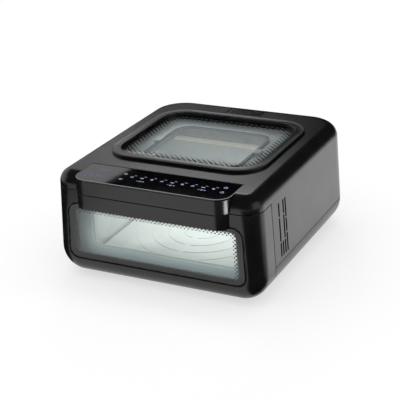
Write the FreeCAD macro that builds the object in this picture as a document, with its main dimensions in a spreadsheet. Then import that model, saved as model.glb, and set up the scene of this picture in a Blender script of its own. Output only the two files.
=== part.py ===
import FreeCAD, Part
import os
import re
import Sketcher

# A countertop air fryer: a glazed drawer in front, a fixed viewing window in the lid.
# Frame: +Z up, the drawer's face towards -Y, origin under the middle of the feet. Millimetres.

SIZES = {
    # Casing
    "body_depth": 381.5,
    "body_height": 168.6,
    "base_width": 352.7,
    "top_width": 334.8,
    "rear_round": 58.0,
    "top_round": 20.5,
    "bottom_round": 40.0,
    "front_round": 28.0,
    "wall": 3.0,
    "seam_gap": 0.6,
    "base_height": 41.8,
    "play": 0.3,
    "shaft_play": 0.05,
    "sheet_gauge": 1.5,
    # Feet and their screws
    "foot_height": 6.0,
    "foot_radius": 14.0,
    "foot_margin": 60.0,
    "foot_front": 75.0,
    "foot_rear": 82.0,
    "foot_bore": 5.5,
    "foot_screw": 2.0,
    "liner_lift": 3.0,
    # Drawer front, brow and front glass
    "drawer_depth": 52.3,
    "front_wall": 8.0,
    "brow_height": 25.3,
    "brow_depth": 14.2,
    "brow_width": 254.4,
    "brow_round": 22.0,
    "handle_height": 23.5,
    "handle_wall": 3.0,
    "handle_end": 16.0,
    "handle_screw": 1.8,
    "handle_bite": 4.5,
    "glass_margin": 23.6,
    "glass_rise": 28.7,
    "glass_drop": 21.2,
    "glass_round": 17.0,
    "glass_gauge": 4.0,
    "gasket_gauge": 0.8,
    "gasket_width": 9.0,
    "view_margin": 14.0,
    "view_rise": 9.0,
    "view_drop": 9.0,
    # Control panel
    "panel_depth": 65.0,
    "panel_gauge": 2.5,
    "panel_wall": 2.5,
    "panel_round": 0.8,
    "board_gauge": 1.6,
    "board_lift": 6.0,
    # Lid window
    "ring_side_gap": 35.1,
    "ring_front_gap": 31.8,
    "ring_rear_gap": 15.0,
    "ring_rise": 4.5,
    "ring_round": 50.0,
    "ring_ease": 1.2,
    "ring_side_band": 13.5,
    "ring_end_band": 16.0,
    "opening_round": 37.0,
    "glass_lap": 3.0,
    "lip_gauge": 0.5,
    "skirt_wall": 2.5,
    "retainer_gauge": 2.3,
    # Oven liner and its top plate
    "side_room_low": 36.35,
    "side_room_high": 27.4,
    "fan_room": 74.0,
    "lid_room": 14.0,
    "mouth_lip": 0.5,
    "mouth_head": 5.0,
    "frame_setback": 0.9,
    "frame_gauge": 2.0,
    "plate_hole_side": 39.8,
    "plate_hole_end": 32.5,
    "plate_hole_shift": 7.5,
    "plate_hole_round": 22.0,
    "plate_flange": 7.0,
    "clip_width": 16.0,
    # Heaters
    "heater_front_gap": 4.0,
    "heater_rear_inset": 20.0,
    "heater_drop": 11.0,
    "heater_end": 24.0,
    "heater_radius": 3.5,
    "cap_radius": 6.0,
    "cap_length": 16.0,
    # Pan and its window
    "pan_side_gap": 8.0,
    "pan_rear_gap": 8.0,
    "pan_drop": 26.1,
    "pan_setback": 36.0,
    "pan_clear": 6.5,
    "pan_round": 6.0,
    "pan_foot_round": 5.0,
    "pan_flange": 13.0,
    "pan_flange_gauge": 1.2,
    "pan_screw": 1.5,
    "pane_side": 11.0,
    "pane_rise": 28.0,
    "pane_drop": 8.0,
    "pane_round": 10.0,
    "pane_lap": 4.5,
    "pane_rim": 3.5,
    "bezel_width": 20.5,
    "seal_sight": 2.5,
    # Runners and rails
    "rail_depth": 5.5,
    "rail_height": 14.0,
    "rail_gauge": 2.0,
    "rail_web": 1.5,
    "rail_drop": 20.0,
    "rail_end": 10.0,
    "runner_end": 3.0,
    # Crisper plate
    "crisper_side": 6.0,
    "crisper_end": 8.0,
    "crisper_lift": 8.5,
    "crisper_gauge": 2.0,
    "crisper_round": 12.0,
    "ring_pitch": 26.0,
    "ring_first": 30.0,
    "ring_slot": 3.0,
    "ring_groove": 0.8,
    "ring_border": 8.0,
    "spoke_width": 10.0,
    "bumper_radius": 6.0,
    "bumper_inset": 14.0,
    # Fan, chamber and motor
    "fan_radius": 42.0,
    "fan_hub": 10.0,
    "fan_width": 10.0,
    "fan_gap": 4.0,
    "blade_gauge": 1.2,
    "intake_radius": 45.0,
    "guard_lap": 7.0,
    "guard_slot": 4.0,
    "guard_pitch": 8.0,
    "chamber_half": 62.0,
    "chamber_depth": 26.5,
    "bracket_half": 45.0,
    "bracket_gauge": 2.0,
    "motor_radius": 30.0,
    "motor_length": 28.0,
    "shaft_radius": 3.0,
    "nut_radius": 5.0,
    "nut_length": 4.0,
    "cooler_radius": 38.0,
    "cooler_width": 7.0,
    "cooler_gap": 2.0,
    # Rear cover, its screws and the cord gland
    "cover_width": 160.0,
    "cover_rise": 11.6,
    "cover_drop": 28.0,
    "cover_gauge": 2.0,
    "cover_ledge": 8.0,
    "cover_round": 4.0,
    "cover_screw": 1.4,
    "cover_boss": 3.5,
    "cover_slot": 3.5,
    "cover_pitch": 8.0,
    "cover_slot_width": 100.0,
    "gland_side": 62.0,
    "gland_rise": 18.0,
    "gland_bore": 3.7,
    "gland_nose": 6.0,
    "gland_flange": 9.0,
    "gland_grip": 4.0,
    # Vents
    "vent_width": 68.0,
    "vent_depth": 32.0,
    "vent_margin": 15.0,
    "vent_sink": 1.2,
    "vent_border": 4.5,
    "louvre_slot": 3.0,
    "louvre_pitch": 9.0,
    "side_slot": 3.8,
    "side_pitch": 8.2,
    "side_first": 77.4,
    "side_rise": 7.7,
    "side_short": 21.0,
    "side_break": 3.2,
    "side_drop": 34.6,
    "side_high_break": 22.2,
    "side_last_low": 30.3,
    "side_last_high": 31.0,
    # Electrics
    "shield_gap": 3.5,
    "shield_gauge": 1.0,
    "shield_inset": 38.0,
    "shield_end": 8.0,
    "shield_drop": 16.0,
    "power_gap": 5.0,
    "power_length": 110.0,
    "power_drop": 39.0,
    "power_rise": 11.6,
    "standoff_radius": 3.0,
    "standoff_inset": 8.0,
    "switch_gap": 15.0,
    "switch_drop": 8.0,
    "switch_width": 18.0,
    "switch_tall": 16.0,
    "switch_depth": 20.0,
    "plunger_radius": 2.5,
    "plunger_length": 9.7,
    "plunger_room": 4.0,
    "plunger_play": 0.1,
    "probe_inset": 45.0,
    "probe_drop": 22.0,
    "probe_radius": 2.0,
    "probe_reach": 20.0,
    "probe_flange": 5.0,
    "cutout_setback": 200.0,
    "cutout_drop": 50.0,
    "cutout_radius": 9.0,
    "cutout_length": 8.0,
    "lamp_setback": 110.0,
    "lamp_drop": 22.0,
    "lamp_radius": 13.0,
    "lamp_reach": 3.0,
    "lamp_wall": 4.0,
    "lamp_length": 18.0,
}

PLACES = {
    # Casing and drawer front
    "floor_z": "foot_height",
    "top_z": "foot_height + body_height",
    "face_y": "(brow_depth - body_depth) / 2",
    "rear_y": "(brow_depth + body_depth) / 2",
    "lean": "(base_width - top_width) / (2 * body_height)",
    "foot_x": "base_width / 2 - foot_margin",
    "bay_y": "face_y + drawer_depth",
    "base_seam_z": "floor_z + base_height",
    "brow_seam_z": "top_z - brow_height",
    "canopy_z": "brow_seam_z + seam_gap / 2 + wall",
    "drawer_top_z": "brow_seam_z - seam_gap / 2",
    "brow_y": "face_y - brow_depth",
    "panel_y": "brow_y + panel_depth",
    "panel_z": "top_z - play - panel_gauge",
    "glass_low_z": "floor_z + glass_rise",
    "glass_high_z": "drawer_top_z - glass_drop + seam_gap / 2",
    # Lid
    "vent_rear_y": "rear_y - vent_margin",
    "vent_front_y": "vent_rear_y - vent_depth",
    "ring_front_y": "panel_y + ring_front_gap",
    "ring_rear_y": "vent_front_y - ring_rear_gap",
    "window_y": "(ring_front_y + ring_rear_y) / 2",
    "ring_width": "top_width - 2 * ring_side_gap",
    "opening_width": "ring_width - 2 * ring_side_band",
    "opening_depth": "ring_rear_y - ring_front_y - 2 * ring_end_band",
    "glass_half_x": "opening_width / 2 + glass_lap",
    "glass_half_y": "opening_depth / 2 + glass_lap",
    "pane_top_z": "top_z - lip_gauge",
    "pane_seat_z": "pane_top_z - glass_gauge",
    "skirt_z": "pane_seat_z - gasket_gauge - retainer_gauge",
    # Oven
    "frame_y": "bay_y + frame_setback",
    "liner_y": "frame_y + frame_gauge",
    "liner_back_y": "rear_y - fan_room",
    "liner_width": "min(base_width - 2 * side_room_low; top_width - 2 * side_room_high)",
    "liner_floor_z": "floor_z + wall + liner_lift",
    "liner_top_z": "top_z - lid_room",
    "plate_y": "window_y - plate_hole_shift",
    "plate_hole_width": "opening_width - 2 * plate_hole_side",
    "plate_hole_depth": "opening_depth - 2 * plate_hole_end",
    "heater_front_y": "plate_y - plate_hole_depth / 2 - heater_front_gap",
    "heater_rear_y": "plate_y + plate_hole_depth / 2 - heater_rear_inset",
    "heater_length": "liner_width - 2 * heater_end",
    "heater_z": "liner_top_z - heater_drop",
    # Pan and what it carries
    "pan_y": "face_y + pan_setback",
    "pan_back_y": "liner_back_y - pan_rear_gap",
    "pan_width": "liner_width - 2 * pan_side_gap",
    "pan_z": "liner_floor_z + sheet_gauge + pan_clear",
    "pan_top_z": "drawer_top_z - pan_drop",
    "back_panel_y": "bay_y - seam_gap / 2 - pan_flange_gauge",
    "mouth_width": "liner_width - 2 * mouth_lip",
    "mouth_z": "liner_floor_z + 2 * sheet_gauge",
    "pane_width": "pan_width - 2 * pane_side",
    "pane_low_z": "pan_z + pane_rise",
    "pane_high_z": "pan_top_z - pane_drop",
    "rail_z": "pan_top_z - rail_drop",
    "rail_back_y": "liner_back_y - rail_end",
    "crisper_z": "pan_z + sheet_gauge + crisper_lift",
    "crisper_y": "(pan_y + pan_back_y) / 2",
    "crisper_width": "pan_width - 2 * crisper_side",
    "crisper_depth": "pan_back_y - pan_y - 2 * crisper_end",
    # Fan
    "fan_z": "(liner_floor_z + liner_top_z) / 2",
    "fan_y": "liner_back_y + sheet_gauge + nut_length + fan_gap / 2",
    "chamber_y": "liner_back_y + sheet_gauge + chamber_depth",
    "motor_y": "chamber_y + bracket_gauge",
    "cooler_y": "motor_y + motor_length + cooler_gap",
    # Rear cover and side slots
    "cover_y": "rear_y - cover_gauge",
    "cover_low_z": "base_seam_z + cover_rise",
    "cover_high_z": "top_z - cover_drop",
    "gland_z": "cover_low_z + gland_rise",
    "side_low_z": "base_seam_z + side_rise",
    "side_high_z": "top_z - side_drop",
    # Electrics
    "shield_x": "liner_width / 2 + sheet_gauge + shield_gap",
    "shield_reach": "max(0; shield_x + shield_gauge - base_width / 2 + bottom_round * (1 + lean))",
    "shield_z": "floor_z + bottom_round + 2 * play - sqrt((bottom_round - wall)^2 - shield_reach^2)",
    "shield_y": "liner_y + shield_inset",
    "power_x": "shield_x + shield_gauge + power_gap",
    "power_low_z": "base_seam_z + power_rise",
    "power_high_z": "top_z - power_drop",
    "switch_x": "liner_width / 2 + switch_gap",
    "switch_z": "pan_top_z - switch_drop",
    "probe_x": "liner_width / 2 - probe_inset",
    "probe_z": "liner_top_z - probe_drop",
    "cutout_z": "liner_top_z - cutout_drop",
    "lamp_z": "liner_top_z - lamp_drop",
}

doc = FreeCAD.newDocument("air_fryer")
sub_parts = []
TINY = 1e-4
SHORT_COLUMN = 1
ALONG = {
    "x": FreeCAD.Rotation(FreeCAD.Vector(0, 1, 0), 90),
    "y": FreeCAD.Rotation(FreeCAD.Vector(1, 0, 0), -90),
    "z": FreeCAD.Rotation(),
}


def sized(text, own=None):
    """A formula with each alias led by its sheet's name, unless the formula is in that sheet."""
    def qualify(match):
        word = match.group(0)
        for sheet, cells in (("Sizes", SIZES), ("Places", PLACES)):
            if word in cells:
                return word if sheet == own else f"{sheet}.{word}"
        return word
    return re.sub(r"[a-z][a-z_]*", qualify, text)


def fill_sheet(name, cells):
    """A spreadsheet with one aliased cell for each entry."""
    sheet = doc.addObject("Spreadsheet::Sheet", name)
    for row, (alias, content) in enumerate(cells.items(), start=1):
        sheet.set(f"A{row}", alias)
        sheet.set(f"B{row}", content)
        sheet.setAlias(f"B{row}", alias)
    doc.recompute()
    return sheet


def sub_part(label, feature):
    """Name a finished sub-part."""
    feature.Label = label
    sub_parts.append(feature)
    return feature


def bind_box(box, x, y, z):
    """Tie a box's sides and low corner to pairs of formulas."""
    for side, (low, high), axis in zip(("Length", "Width", "Height"), (x, y, z), "xyz"):
        box.setExpression(side, sized(f"({high}) - ({low})"))
        box.setExpression(f"Placement.Base.{axis}", sized(low))


def block(name, x, y, z):
    """A box between a low and a high formula on each axis."""
    box = doc.addObject("Part::Box", name)
    bind_box(box, x, y, z)
    return box


def rod(name, along, x, y, z, length, radius):
    """A cylinder from a point, along one axis."""
    cylinder = doc.addObject("Part::Cylinder", name)
    cylinder.Placement = FreeCAD.Placement(FreeCAD.Vector(), ALONG[along])
    for axis, formula in zip("xyz", (x, y, z)):
        cylinder.setExpression(f"Placement.Base.{axis}", sized(formula))
    cylinder.setExpression("Height", sized(length))
    cylinder.setExpression("Radius", sized(radius))
    return cylinder


def half(width):
    """A span centred on the middle plane, from its full width."""
    return (f"-({width}) / 2", f"({width}) / 2")


def about(centre, reach):
    """A span about a centre."""
    return (f"({centre}) - ({reach})", f"({centre}) + ({reach})")


def sided(side, low, high):
    """A span on the left (-1) or right (1) side, given as distances from the middle plane."""
    return (low, high) if side > 0 else (f"-({high})", f"-({low})")


def cut(name, base, *tools):
    """What is left of a base after the tools are taken out."""
    tool = tools[0] if len(tools) == 1 else group(name + "_tools", tools)
    feature = doc.addObject("Part::Cut", name)
    feature.Base = base
    feature.Tool = tool
    return feature


def fuse(name, *shapes):
    """Shapes joined into one solid."""
    feature = doc.addObject("Part::MultiFuse", name)
    feature.Shapes = list(shapes)
    feature.Refine = True
    return feature


def common(name, base, tool):
    """What two shapes share."""
    feature = doc.addObject("Part::Common", name)
    feature.Base = base
    feature.Tool = tool
    return feature


def group(name, shapes):
    """Separate solids kept together."""
    feature = doc.addObject("Part::Compound", name)
    feature.Links = list(shapes)
    return feature


def plane_of(body, role):
    """One of a body's own origin planes."""
    return next(part for part in body.Origin.OriginFeatures if part.Role == role)


def add_fillet(body, name, radius, pick):
    """Round the edges of a body's tip whose bounding boxes a test picks."""
    doc.recompute()
    base = body.Tip
    chosen = [f"Edge{number}" for number, edge in enumerate(base.Shape.Edges, start=1)
              if pick(edge.BoundBox)]
    fillet = body.newObject("PartDesign::Fillet", name)
    fillet.Base = (base, chosen)
    fillet.setExpression("Radius", sized(radius))
    doc.recompute()
    return fillet


def runs_along(axis):
    """A test for edges that run along one axis."""
    def test(bounds):
        spans = {"x": bounds.XLength, "y": bounds.YLength, "z": bounds.ZLength}
        return all((span > TINY) == (name == axis) for name, span in spans.items())
    return test


def rounded(name, x, y, z, radius, along="z", keep=None, top=None, bottom=None):
    """A box with round edges along one axis, and optionally round top or bottom edges."""
    body = doc.addObject("PartDesign::Body", name)
    box = body.newObject("PartDesign::AdditiveBox", name + "_blank")
    bind_box(box, x, y, z)
    test = runs_along(along)
    doc.recompute()
    low = box.Shape.BoundBox.ZMin
    high = box.Shape.BoundBox.ZMax
    front = box.Shape.BoundBox.YMin
    add_fillet(body, name + "_corners", radius,
               lambda b: test(b) and (keep != "front" or abs(b.YMax - front) < TINY))
    if top:
        add_fillet(body, name + "_top", top, lambda b: abs(b.ZMin - high) < TINY)
    if bottom:
        add_fillet(body, name + "_bottom", bottom, lambda b: abs(b.ZMax - low) < TINY)
    return body


def leaning(name, margin, low, high, front, rear):
    """A prism along Y whose sides lean in as the casing's do, a margin inside them."""
    body = doc.addObject("PartDesign::Body", name)
    sketch = body.newObject("Sketcher::SketchObject", name + "_section")
    sketch.AttachmentSupport = [(plane_of(body, "XZ_Plane"), "")]
    sketch.MapMode = "FlatFace"
    wide = doc.Sizes.base_width / 2
    tall = doc.Sizes.body_height
    corners = [FreeCAD.Vector(x, z, 0)
               for x, z in ((-wide, tall / 2), (wide, tall / 2), (wide, tall), (-wide, tall))]
    for number, corner in enumerate(corners):
        sketch.addGeometry(Part.LineSegment(corner, corners[(number + 1) % 4]), False)
    for number in range(4):
        sketch.addConstraint(Sketcher.Constraint("Coincident", number, 2, (number + 1) % 4, 1))
    sketch.addConstraint(Sketcher.Constraint("Symmetric", 0, 1, 0, 2, -2))
    sketch.addConstraint(Sketcher.Constraint("Symmetric", 2, 1, 2, 2, -2))
    reach = "base_width / 2 - ({level} - floor_z) * lean - ({margin})"
    for label, kind, line, point, value, formula in (
            ("low_z", "DistanceY", 0, 2, tall / 2, low),
            ("high_z", "DistanceY", 2, 1, tall, high),
            ("low_half", "DistanceX", 0, 2, wide, reach.format(level=f"({low})", margin=margin)),
            ("high_half", "DistanceX", 2, 1, wide, reach.format(level=f"({high})", margin=margin))):
        index = sketch.addConstraint(Sketcher.Constraint(kind, -1, 1, line, point, value))
        sketch.renameConstraint(index, label)
        sketch.setExpression(f"Constraints.{label}", sized(formula))
    pad = body.newObject("PartDesign::Pad", name + "_pad")
    pad.Profile = sketch
    pad.Reversed = True
    pad.setExpression("Length", sized(f"({rear}) - ({front})"))
    body.setExpression("Placement.Base.y", sized(front))
    doc.recompute()
    return body


def leaning_plate(name, margin, low, high, front, rear, radius):
    """A leaning prism with its four long edges rounded."""
    body = leaning(name, margin, low, high, front, rear)
    add_fillet(body, name + "_corners", radius, runs_front_to_back)
    return body


def runs_front_to_back(bounds):
    """A test for a prism's long edges."""
    return bounds.YLength > TINY and bounds.XLength < TINY and bounds.ZLength < TINY


def casing(name, inset):
    """The whole casing's rounded form, drawn in by an inset all round."""
    body = leaning(name, inset, f"floor_z + {inset}", f"top_z - {inset}",
                   f"face_y + {inset}", f"rear_y - {inset}")
    box = body.Shape.BoundBox
    depth = box.YLength
    add_fillet(body, name + "_rear_corners", f"rear_round - {inset}",
               lambda b: b.YMin > depth - TINY and b.ZLength > depth / 10 and b.XLength < depth / 10)
    add_fillet(body, name + "_bottom_edges", f"bottom_round - {inset}",
               lambda b: b.ZMax < box.ZMin + TINY and b.YMax > TINY)
    add_fillet(body, name + "_front_edges", f"min(front_round; bottom_round - shaft_play) - {inset}",
               lambda b: b.YMax < TINY and b.ZMin < box.ZMax - TINY)
    add_fillet(body, name + "_top_edges", f"min(top_round; front_round - 2 * shaft_play) - {inset}",
               lambda b: b.ZMin > box.ZMax - TINY)
    return body


def ring_slots(name, along, x, y, z, length, first, pitch, slot, count, spoke):
    """Concentric slots that four spokes interrupt, as a cutting tool."""
    rings = []
    for number in range(count):
        inner = f"{first} + {number} * {pitch}"
        outer = rod(f"{name}_out_{number}", along, x, y, z, length, f"{inner} + {slot}")
        core = rod(f"{name}_in_{number}", along, x, y, z, length, inner)
        rings.append(cut(f"{name}_ring_{number}", outer, core))
    reach = f"{first} + {count} * {pitch}"
    if along == "z":
        spokes = (block(f"{name}_spoke_a", about(x, reach), about(y, f"{spoke} / 2"),
                        (z, f"{z} + {length}")),
                  block(f"{name}_spoke_b", about(x, f"{spoke} / 2"), about(y, reach),
                        (z, f"{z} + {length}")))
    else:
        spokes = (block(f"{name}_spoke_a", about(x, reach), (y, f"{y} + {length}"),
                        about(z, f"{spoke} / 2")),
                  block(f"{name}_spoke_b", about(x, f"{spoke} / 2"), (y, f"{y} + {length}"),
                        about(z, reach)))
    return cut(name, group(f"{name}_rings", rings), *spokes)


def make_casing():
    """Upper housing and base tray, cut from one rounded form."""
    outside = casing("casing_outside", "0")
    inside = casing("casing_inside", "wall")
    wide = half("2 * base_width")
    behind = ("bay_y + seam_gap / 2", "rear_y + wall")
    upper_zone = fuse("upper_zone",
                      block("upper_zone_rear", wide, behind, ("base_seam_z + seam_gap / 2", "top_z + wall")),
                      block("upper_zone_front", wide, ("face_y - wall", "bay_y + seam_gap"),
                            ("brow_seam_z + seam_gap / 2", "top_z + wall")))
    upper_hollow = fuse("upper_hollow",
                        block("upper_hollow_rear", wide, behind, ("floor_z", "top_z")),
                        block("upper_hollow_front", wide, ("face_y", "bay_y + seam_gap"),
                              ("canopy_z", "top_z")))
    upper_skin = cut("upper_skin", common("upper_form", outside, upper_zone),
                     common("upper_space", inside, upper_hollow))
    base_zone = block("base_zone", wide, behind, ("floor_z - wall", "base_seam_z - seam_gap / 2"))
    base_skin = cut("base_skin", common("base_form", outside, base_zone), inside)
    return outside, inside, upper_skin, base_skin


def make_upper_housing(outside, inside, upper_skin):
    """The housing with its notch, window, vents and rear opening, and the grille and rear cover."""
    notch = block("panel_notch", half("brow_width + 2 * play"), ("brow_y - wall", "panel_y + play"),
                  ("canopy_z", "top_z + wall"))
    window = rounded("lid_opening", about("0", "glass_half_x + skirt_wall + 2 * play"),
                     about("window_y", "glass_half_y + skirt_wall + 2 * play"), ("canopy_z", "top_z + wall"),
                     "opening_round + glass_lap + skirt_wall + 2 * play")
    vent_hole = block("vent_hole", half("vent_width"), ("vent_front_y", "vent_rear_y"),
                      ("top_z - top_round", "top_z + wall"))
    cover_bed = rounded("cover_bed", half("cover_width + 2 * play"), ("cover_y", "rear_y + wall"),
                        ("cover_low_z - play", "cover_high_z + play"), "cover_round", "y")
    cover_hole = block("cover_hole", half("cover_width - 2 * cover_ledge"),
                       ("rear_y - 2 * wall", "rear_y + wall"),
                       ("cover_low_z + cover_ledge", "cover_high_z - cover_ledge"))
    bosses = []
    holes = []
    for number, (x, z) in enumerate(cover_screw_places()):
        bosses.append(rod(f"cover_boss_{number}", "y", x, "cover_y - 3 * wall", z, "3 * wall", "cover_boss"))
        holes.append(rod(f"cover_pilot_{number}", "y", x, "cover_y - 4 * wall", z, "5 * wall",
                         "cover_screw + shaft_play"))
    skin = fuse("housing_with_bosses",
                cut("housing_open", upper_skin, notch, window, vent_hole, cover_bed, cover_hole,
                    *side_slots()),
                *bosses)
    sub_part("upper_housing", cut("housing_drilled", skin, *holes))

    grille_shell = common("grille_shell", cut("casing_shell", outside, inside),
                          block("grille_zone", half("vent_width - 2 * play"),
                                ("vent_front_y + play", "vent_rear_y - play"),
                                ("top_z - top_round", "top_z + wall")))
    sub_part("rear_vent_grille", sunk_grille(grille_shell))


def cover_screw_places():
    """Formulas for the rear cover's four screw centres."""
    across = "(cover_width - cover_ledge) / 2"
    return [(f"{side} * ({across})", level) for side in (-1, 1)
            for level in ("cover_low_z + cover_ledge / 2", "cover_high_z - cover_ledge / 2")]


def side_slots():
    """Cooling slots through the right wall: a row of short ones, with long broken ones over all but one."""
    even = ("side_low_z + side_short + side_break / 2", "side_high_z - side_high_break")
    last = ("side_low_z + side_last_low", "side_high_z - side_last_high")
    slots = []
    for column, breaks in enumerate((even, even, even, last)):
        starts = ["side_low_z"] + [f"{middle} + side_break / 2" for middle in breaks]
        ends = [f"{middle} - side_break / 2" for middle in breaks] + ["side_high_z"]
        runs = list(zip(starts, ends))
        if column == SHORT_COLUMN:
            runs = runs[:1]
        along = about(f"face_y + side_first + {column} * side_pitch", "side_slot / 2")
        for number, run in enumerate(runs):
            slots.append(block(f"side_slot_{column}_{number}", ("top_width / 2 - 6 * wall", "base_width"),
                               along, run))
    return slots


def sunk_grille(shell):
    """The vent grille: a patch of the lid's form, set down a little and cut by slanting louvres."""
    sunk = group("grille_sunk", [shell])
    sunk.setExpression("Placement.Base.z", sized("-vent_sink"))
    bars = []
    for number in range(-6, 7):
        bar = doc.addObject("Part::Box", f"louvre_bar_{number + 6}")
        bar.Placement = FreeCAD.Placement(FreeCAD.Vector(), FreeCAD.Rotation(FreeCAD.Vector(0, 0, 1), 45))
        bar.setExpression("Length", sized("vent_width"))
        bar.setExpression("Width", sized("louvre_slot"))
        bar.setExpression("Height", sized("top_round + wall"))
        bar.setExpression("Placement.Base.x", sized(f"{number} * louvre_pitch - vent_width / 4"))
        bar.setExpression("Placement.Base.y", sized("vent_front_y - vent_width / 8"))
        bar.setExpression("Placement.Base.z", sized("top_z - top_round"))
        bars.append(bar)
    field = block("louvre_field", half("vent_width - 2 * vent_border"),
                  ("vent_front_y + vent_border", "vent_rear_y - vent_border"),
                  ("top_z - top_round", "top_z + wall"))
    return cut("grille_cut", sunk, common("louvre_slots", group("louvre_bars", bars), field))


def make_rear_cover():
    """Rear cover with exhaust slots, its screws and the cord gland."""
    plate = rounded("cover_plate", half("cover_width"), ("cover_y", "rear_y"),
                    ("cover_low_z", "cover_high_z"), "cover_round - play", "y")
    tools = []
    screws = []
    for number, (x, z) in enumerate(cover_screw_places()):
        tools.append(rod(f"cover_clear_{number}", "y", x, "cover_y - wall", z, "3 * wall",
                         "cover_screw + play"))
        tools.append(rod(f"cover_sink_{number}", "y", x, "rear_y - 0.6 * cover_gauge", z, "wall",
                         "2 * cover_screw + play"))
        head = rod(f"cover_head_{number}", "y", x, "rear_y - 0.6 * cover_gauge", z, "0.6 * cover_gauge",
                   "2 * cover_screw")
        shank = rod(f"cover_shank_{number}", "y", x, "cover_y - 3 * wall", z, "3 * wall + 0.5 * cover_gauge",
                    "cover_screw")
        screws.append(fuse(f"cover_screw_{number}", head, shank))
    for number in range(6):
        level = f"cover_high_z - 2 * cover_ledge - {number} * cover_pitch"
        tools.append(block(f"cover_slot_{number}", half("cover_slot_width"),
                           ("cover_y - wall", "rear_y + wall"),
                           about(level, "cover_slot / 2")))
    gland_at = ("gland_side", "gland_z")
    tools.append(rod("gland_hole", "y", gland_at[0], "cover_y - wall", gland_at[1], "3 * wall",
                     "gland_nose + play"))
    sub_part("rear_cover", cut("cover_cut", plate, *tools))
    sub_part("rear_cover_screws", group("cover_screw_set", screws))
    nose = rod("gland_nose_rod", "y", gland_at[0], "cover_y - gland_grip", gland_at[1],
               "gland_grip + cover_gauge", "gland_nose")
    flange = rod("gland_flange_rod", "y", gland_at[0], "cover_y - gland_grip", gland_at[1],
                 "gland_grip", "gland_flange")
    bore = rod("gland_bore_rod", "y", gland_at[0], "cover_y - gland_grip - wall", gland_at[1],
               "gland_grip + 3 * wall", "gland_bore")
    sub_part("cord_gland", cut("gland_bored", fuse("gland_solid", nose, flange), bore))


def foot_places():
    """Formulas for the four feet's centres."""
    return [(f"{side} * foot_x", along) for side in (-1, 1)
            for along in ("face_y + foot_front", "rear_y - foot_rear")]


def make_base(base_skin):
    """Base tray with seats for the liner, the feet and their screws."""
    seats = []
    pilots = []
    feet = []
    screws = []
    for number, (x, y) in enumerate(foot_places()):
        seats.append(rod(f"foot_seat_{number}", "z", x, y, "floor_z", "wall + liner_lift", "4 * foot_screw"))
        pilots.append(rod(f"foot_pilot_{number}", "z", x, y, "0", "floor_z + wall + liner_lift - shaft_play",
                          "foot_screw + 2 * shaft_play"))
        pad = rod(f"foot_pad_{number}", "z", x, y, "0", "foot_height", "foot_radius")
        well = rod(f"foot_well_{number}", "z", x, y, "-foot_height / 2", "foot_height", "foot_bore")
        clear = rod(f"foot_clear_{number}", "z", x, y, "0", "2 * foot_height", "foot_screw + play")
        feet.append(cut(f"foot_{number}", pad, well, clear))
        head = rod(f"foot_head_{number}", "z", x, y, "foot_height / 4", "foot_height / 4",
                   "foot_bore - 3 * play")
        shank = rod(f"foot_shank_{number}", "z", x, y, "foot_height / 4",
                    "3 * foot_height / 4 + wall + liner_lift - play", "foot_screw")
        screws.append(fuse(f"foot_screw_{number}", head, shank))
    solid = fuse("base_with_seats", base_skin, *seats)
    sub_part("base_tray", cut("base_drilled", solid, *pilots))
    sub_part("feet", group("foot_set", feet))
    sub_part("foot_screws", group("foot_screw_set", screws))


def make_lid_window():
    """Raised trim ring with its skirt, the outer glass, gasket and retainer below it."""
    body = rounded("ring_moulding", half("ring_width"), ("ring_front_y", "ring_rear_y"),
                   ("top_z", "top_z + ring_rise"), "ring_round")
    hole = body.newObject("PartDesign::SubtractiveBox", "ring_hole")
    bind_box(hole, half("opening_width"), about("window_y", "opening_depth / 2"),
             ("top_z - wall", "top_z + ring_rise + wall"))
    doc.recompute()
    inner = doc.Places.opening_width / 2 + TINY
    upright = runs_along("z")
    add_fillet(body, "ring_hole_corners", "opening_round", lambda b: upright(b) and abs(b.XMin) < inner)
    crest = doc.Places.top_z + doc.Sizes.ring_rise
    add_fillet(body, "ring_eased", "min(ring_ease; ring_rise - shaft_play)", lambda b: b.ZMin > crest - TINY)

    def lid_slab(name, grow, low, high):
        return rounded(name, about("0", f"glass_half_x + {grow}"),
                       about("window_y", f"glass_half_y + {grow}"),
                       (low, high), f"opening_round + glass_lap + {grow}")

    def lid_hole(name, low, high):
        return rounded(name, half("opening_width"), about("window_y", "opening_depth / 2"), (low, high),
                       "opening_round")

    skirt = cut("ring_skirt", lid_slab("skirt_block", "play + skirt_wall", "skirt_z", "top_z"),
                lid_slab("skirt_pocket", "play", "skirt_z - wall", "pane_top_z"),
                lid_hole("lip_hole", "skirt_z", "top_z + wall"))
    sub_part("window_trim_ring", fuse("ring_whole", body, skirt))
    sub_part("top_outer_glass", lid_slab("top_pane", "0", "pane_seat_z", "pane_top_z"))
    sub_part("top_glass_gasket", cut("top_gasket_cut",
                                     lid_slab("top_gasket_block", "0", "pane_seat_z - gasket_gauge",
                                              "pane_seat_z"),
                                     lid_hole("top_gasket_hole", "skirt_z", "top_z")))
    sub_part("top_glass_retainer", cut("retainer_cut",
                                       lid_slab("retainer_block", "0", "skirt_z", "skirt_z + retainer_gauge"),
                                       lid_hole("retainer_hole", "skirt_z - wall", "top_z")))


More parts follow.
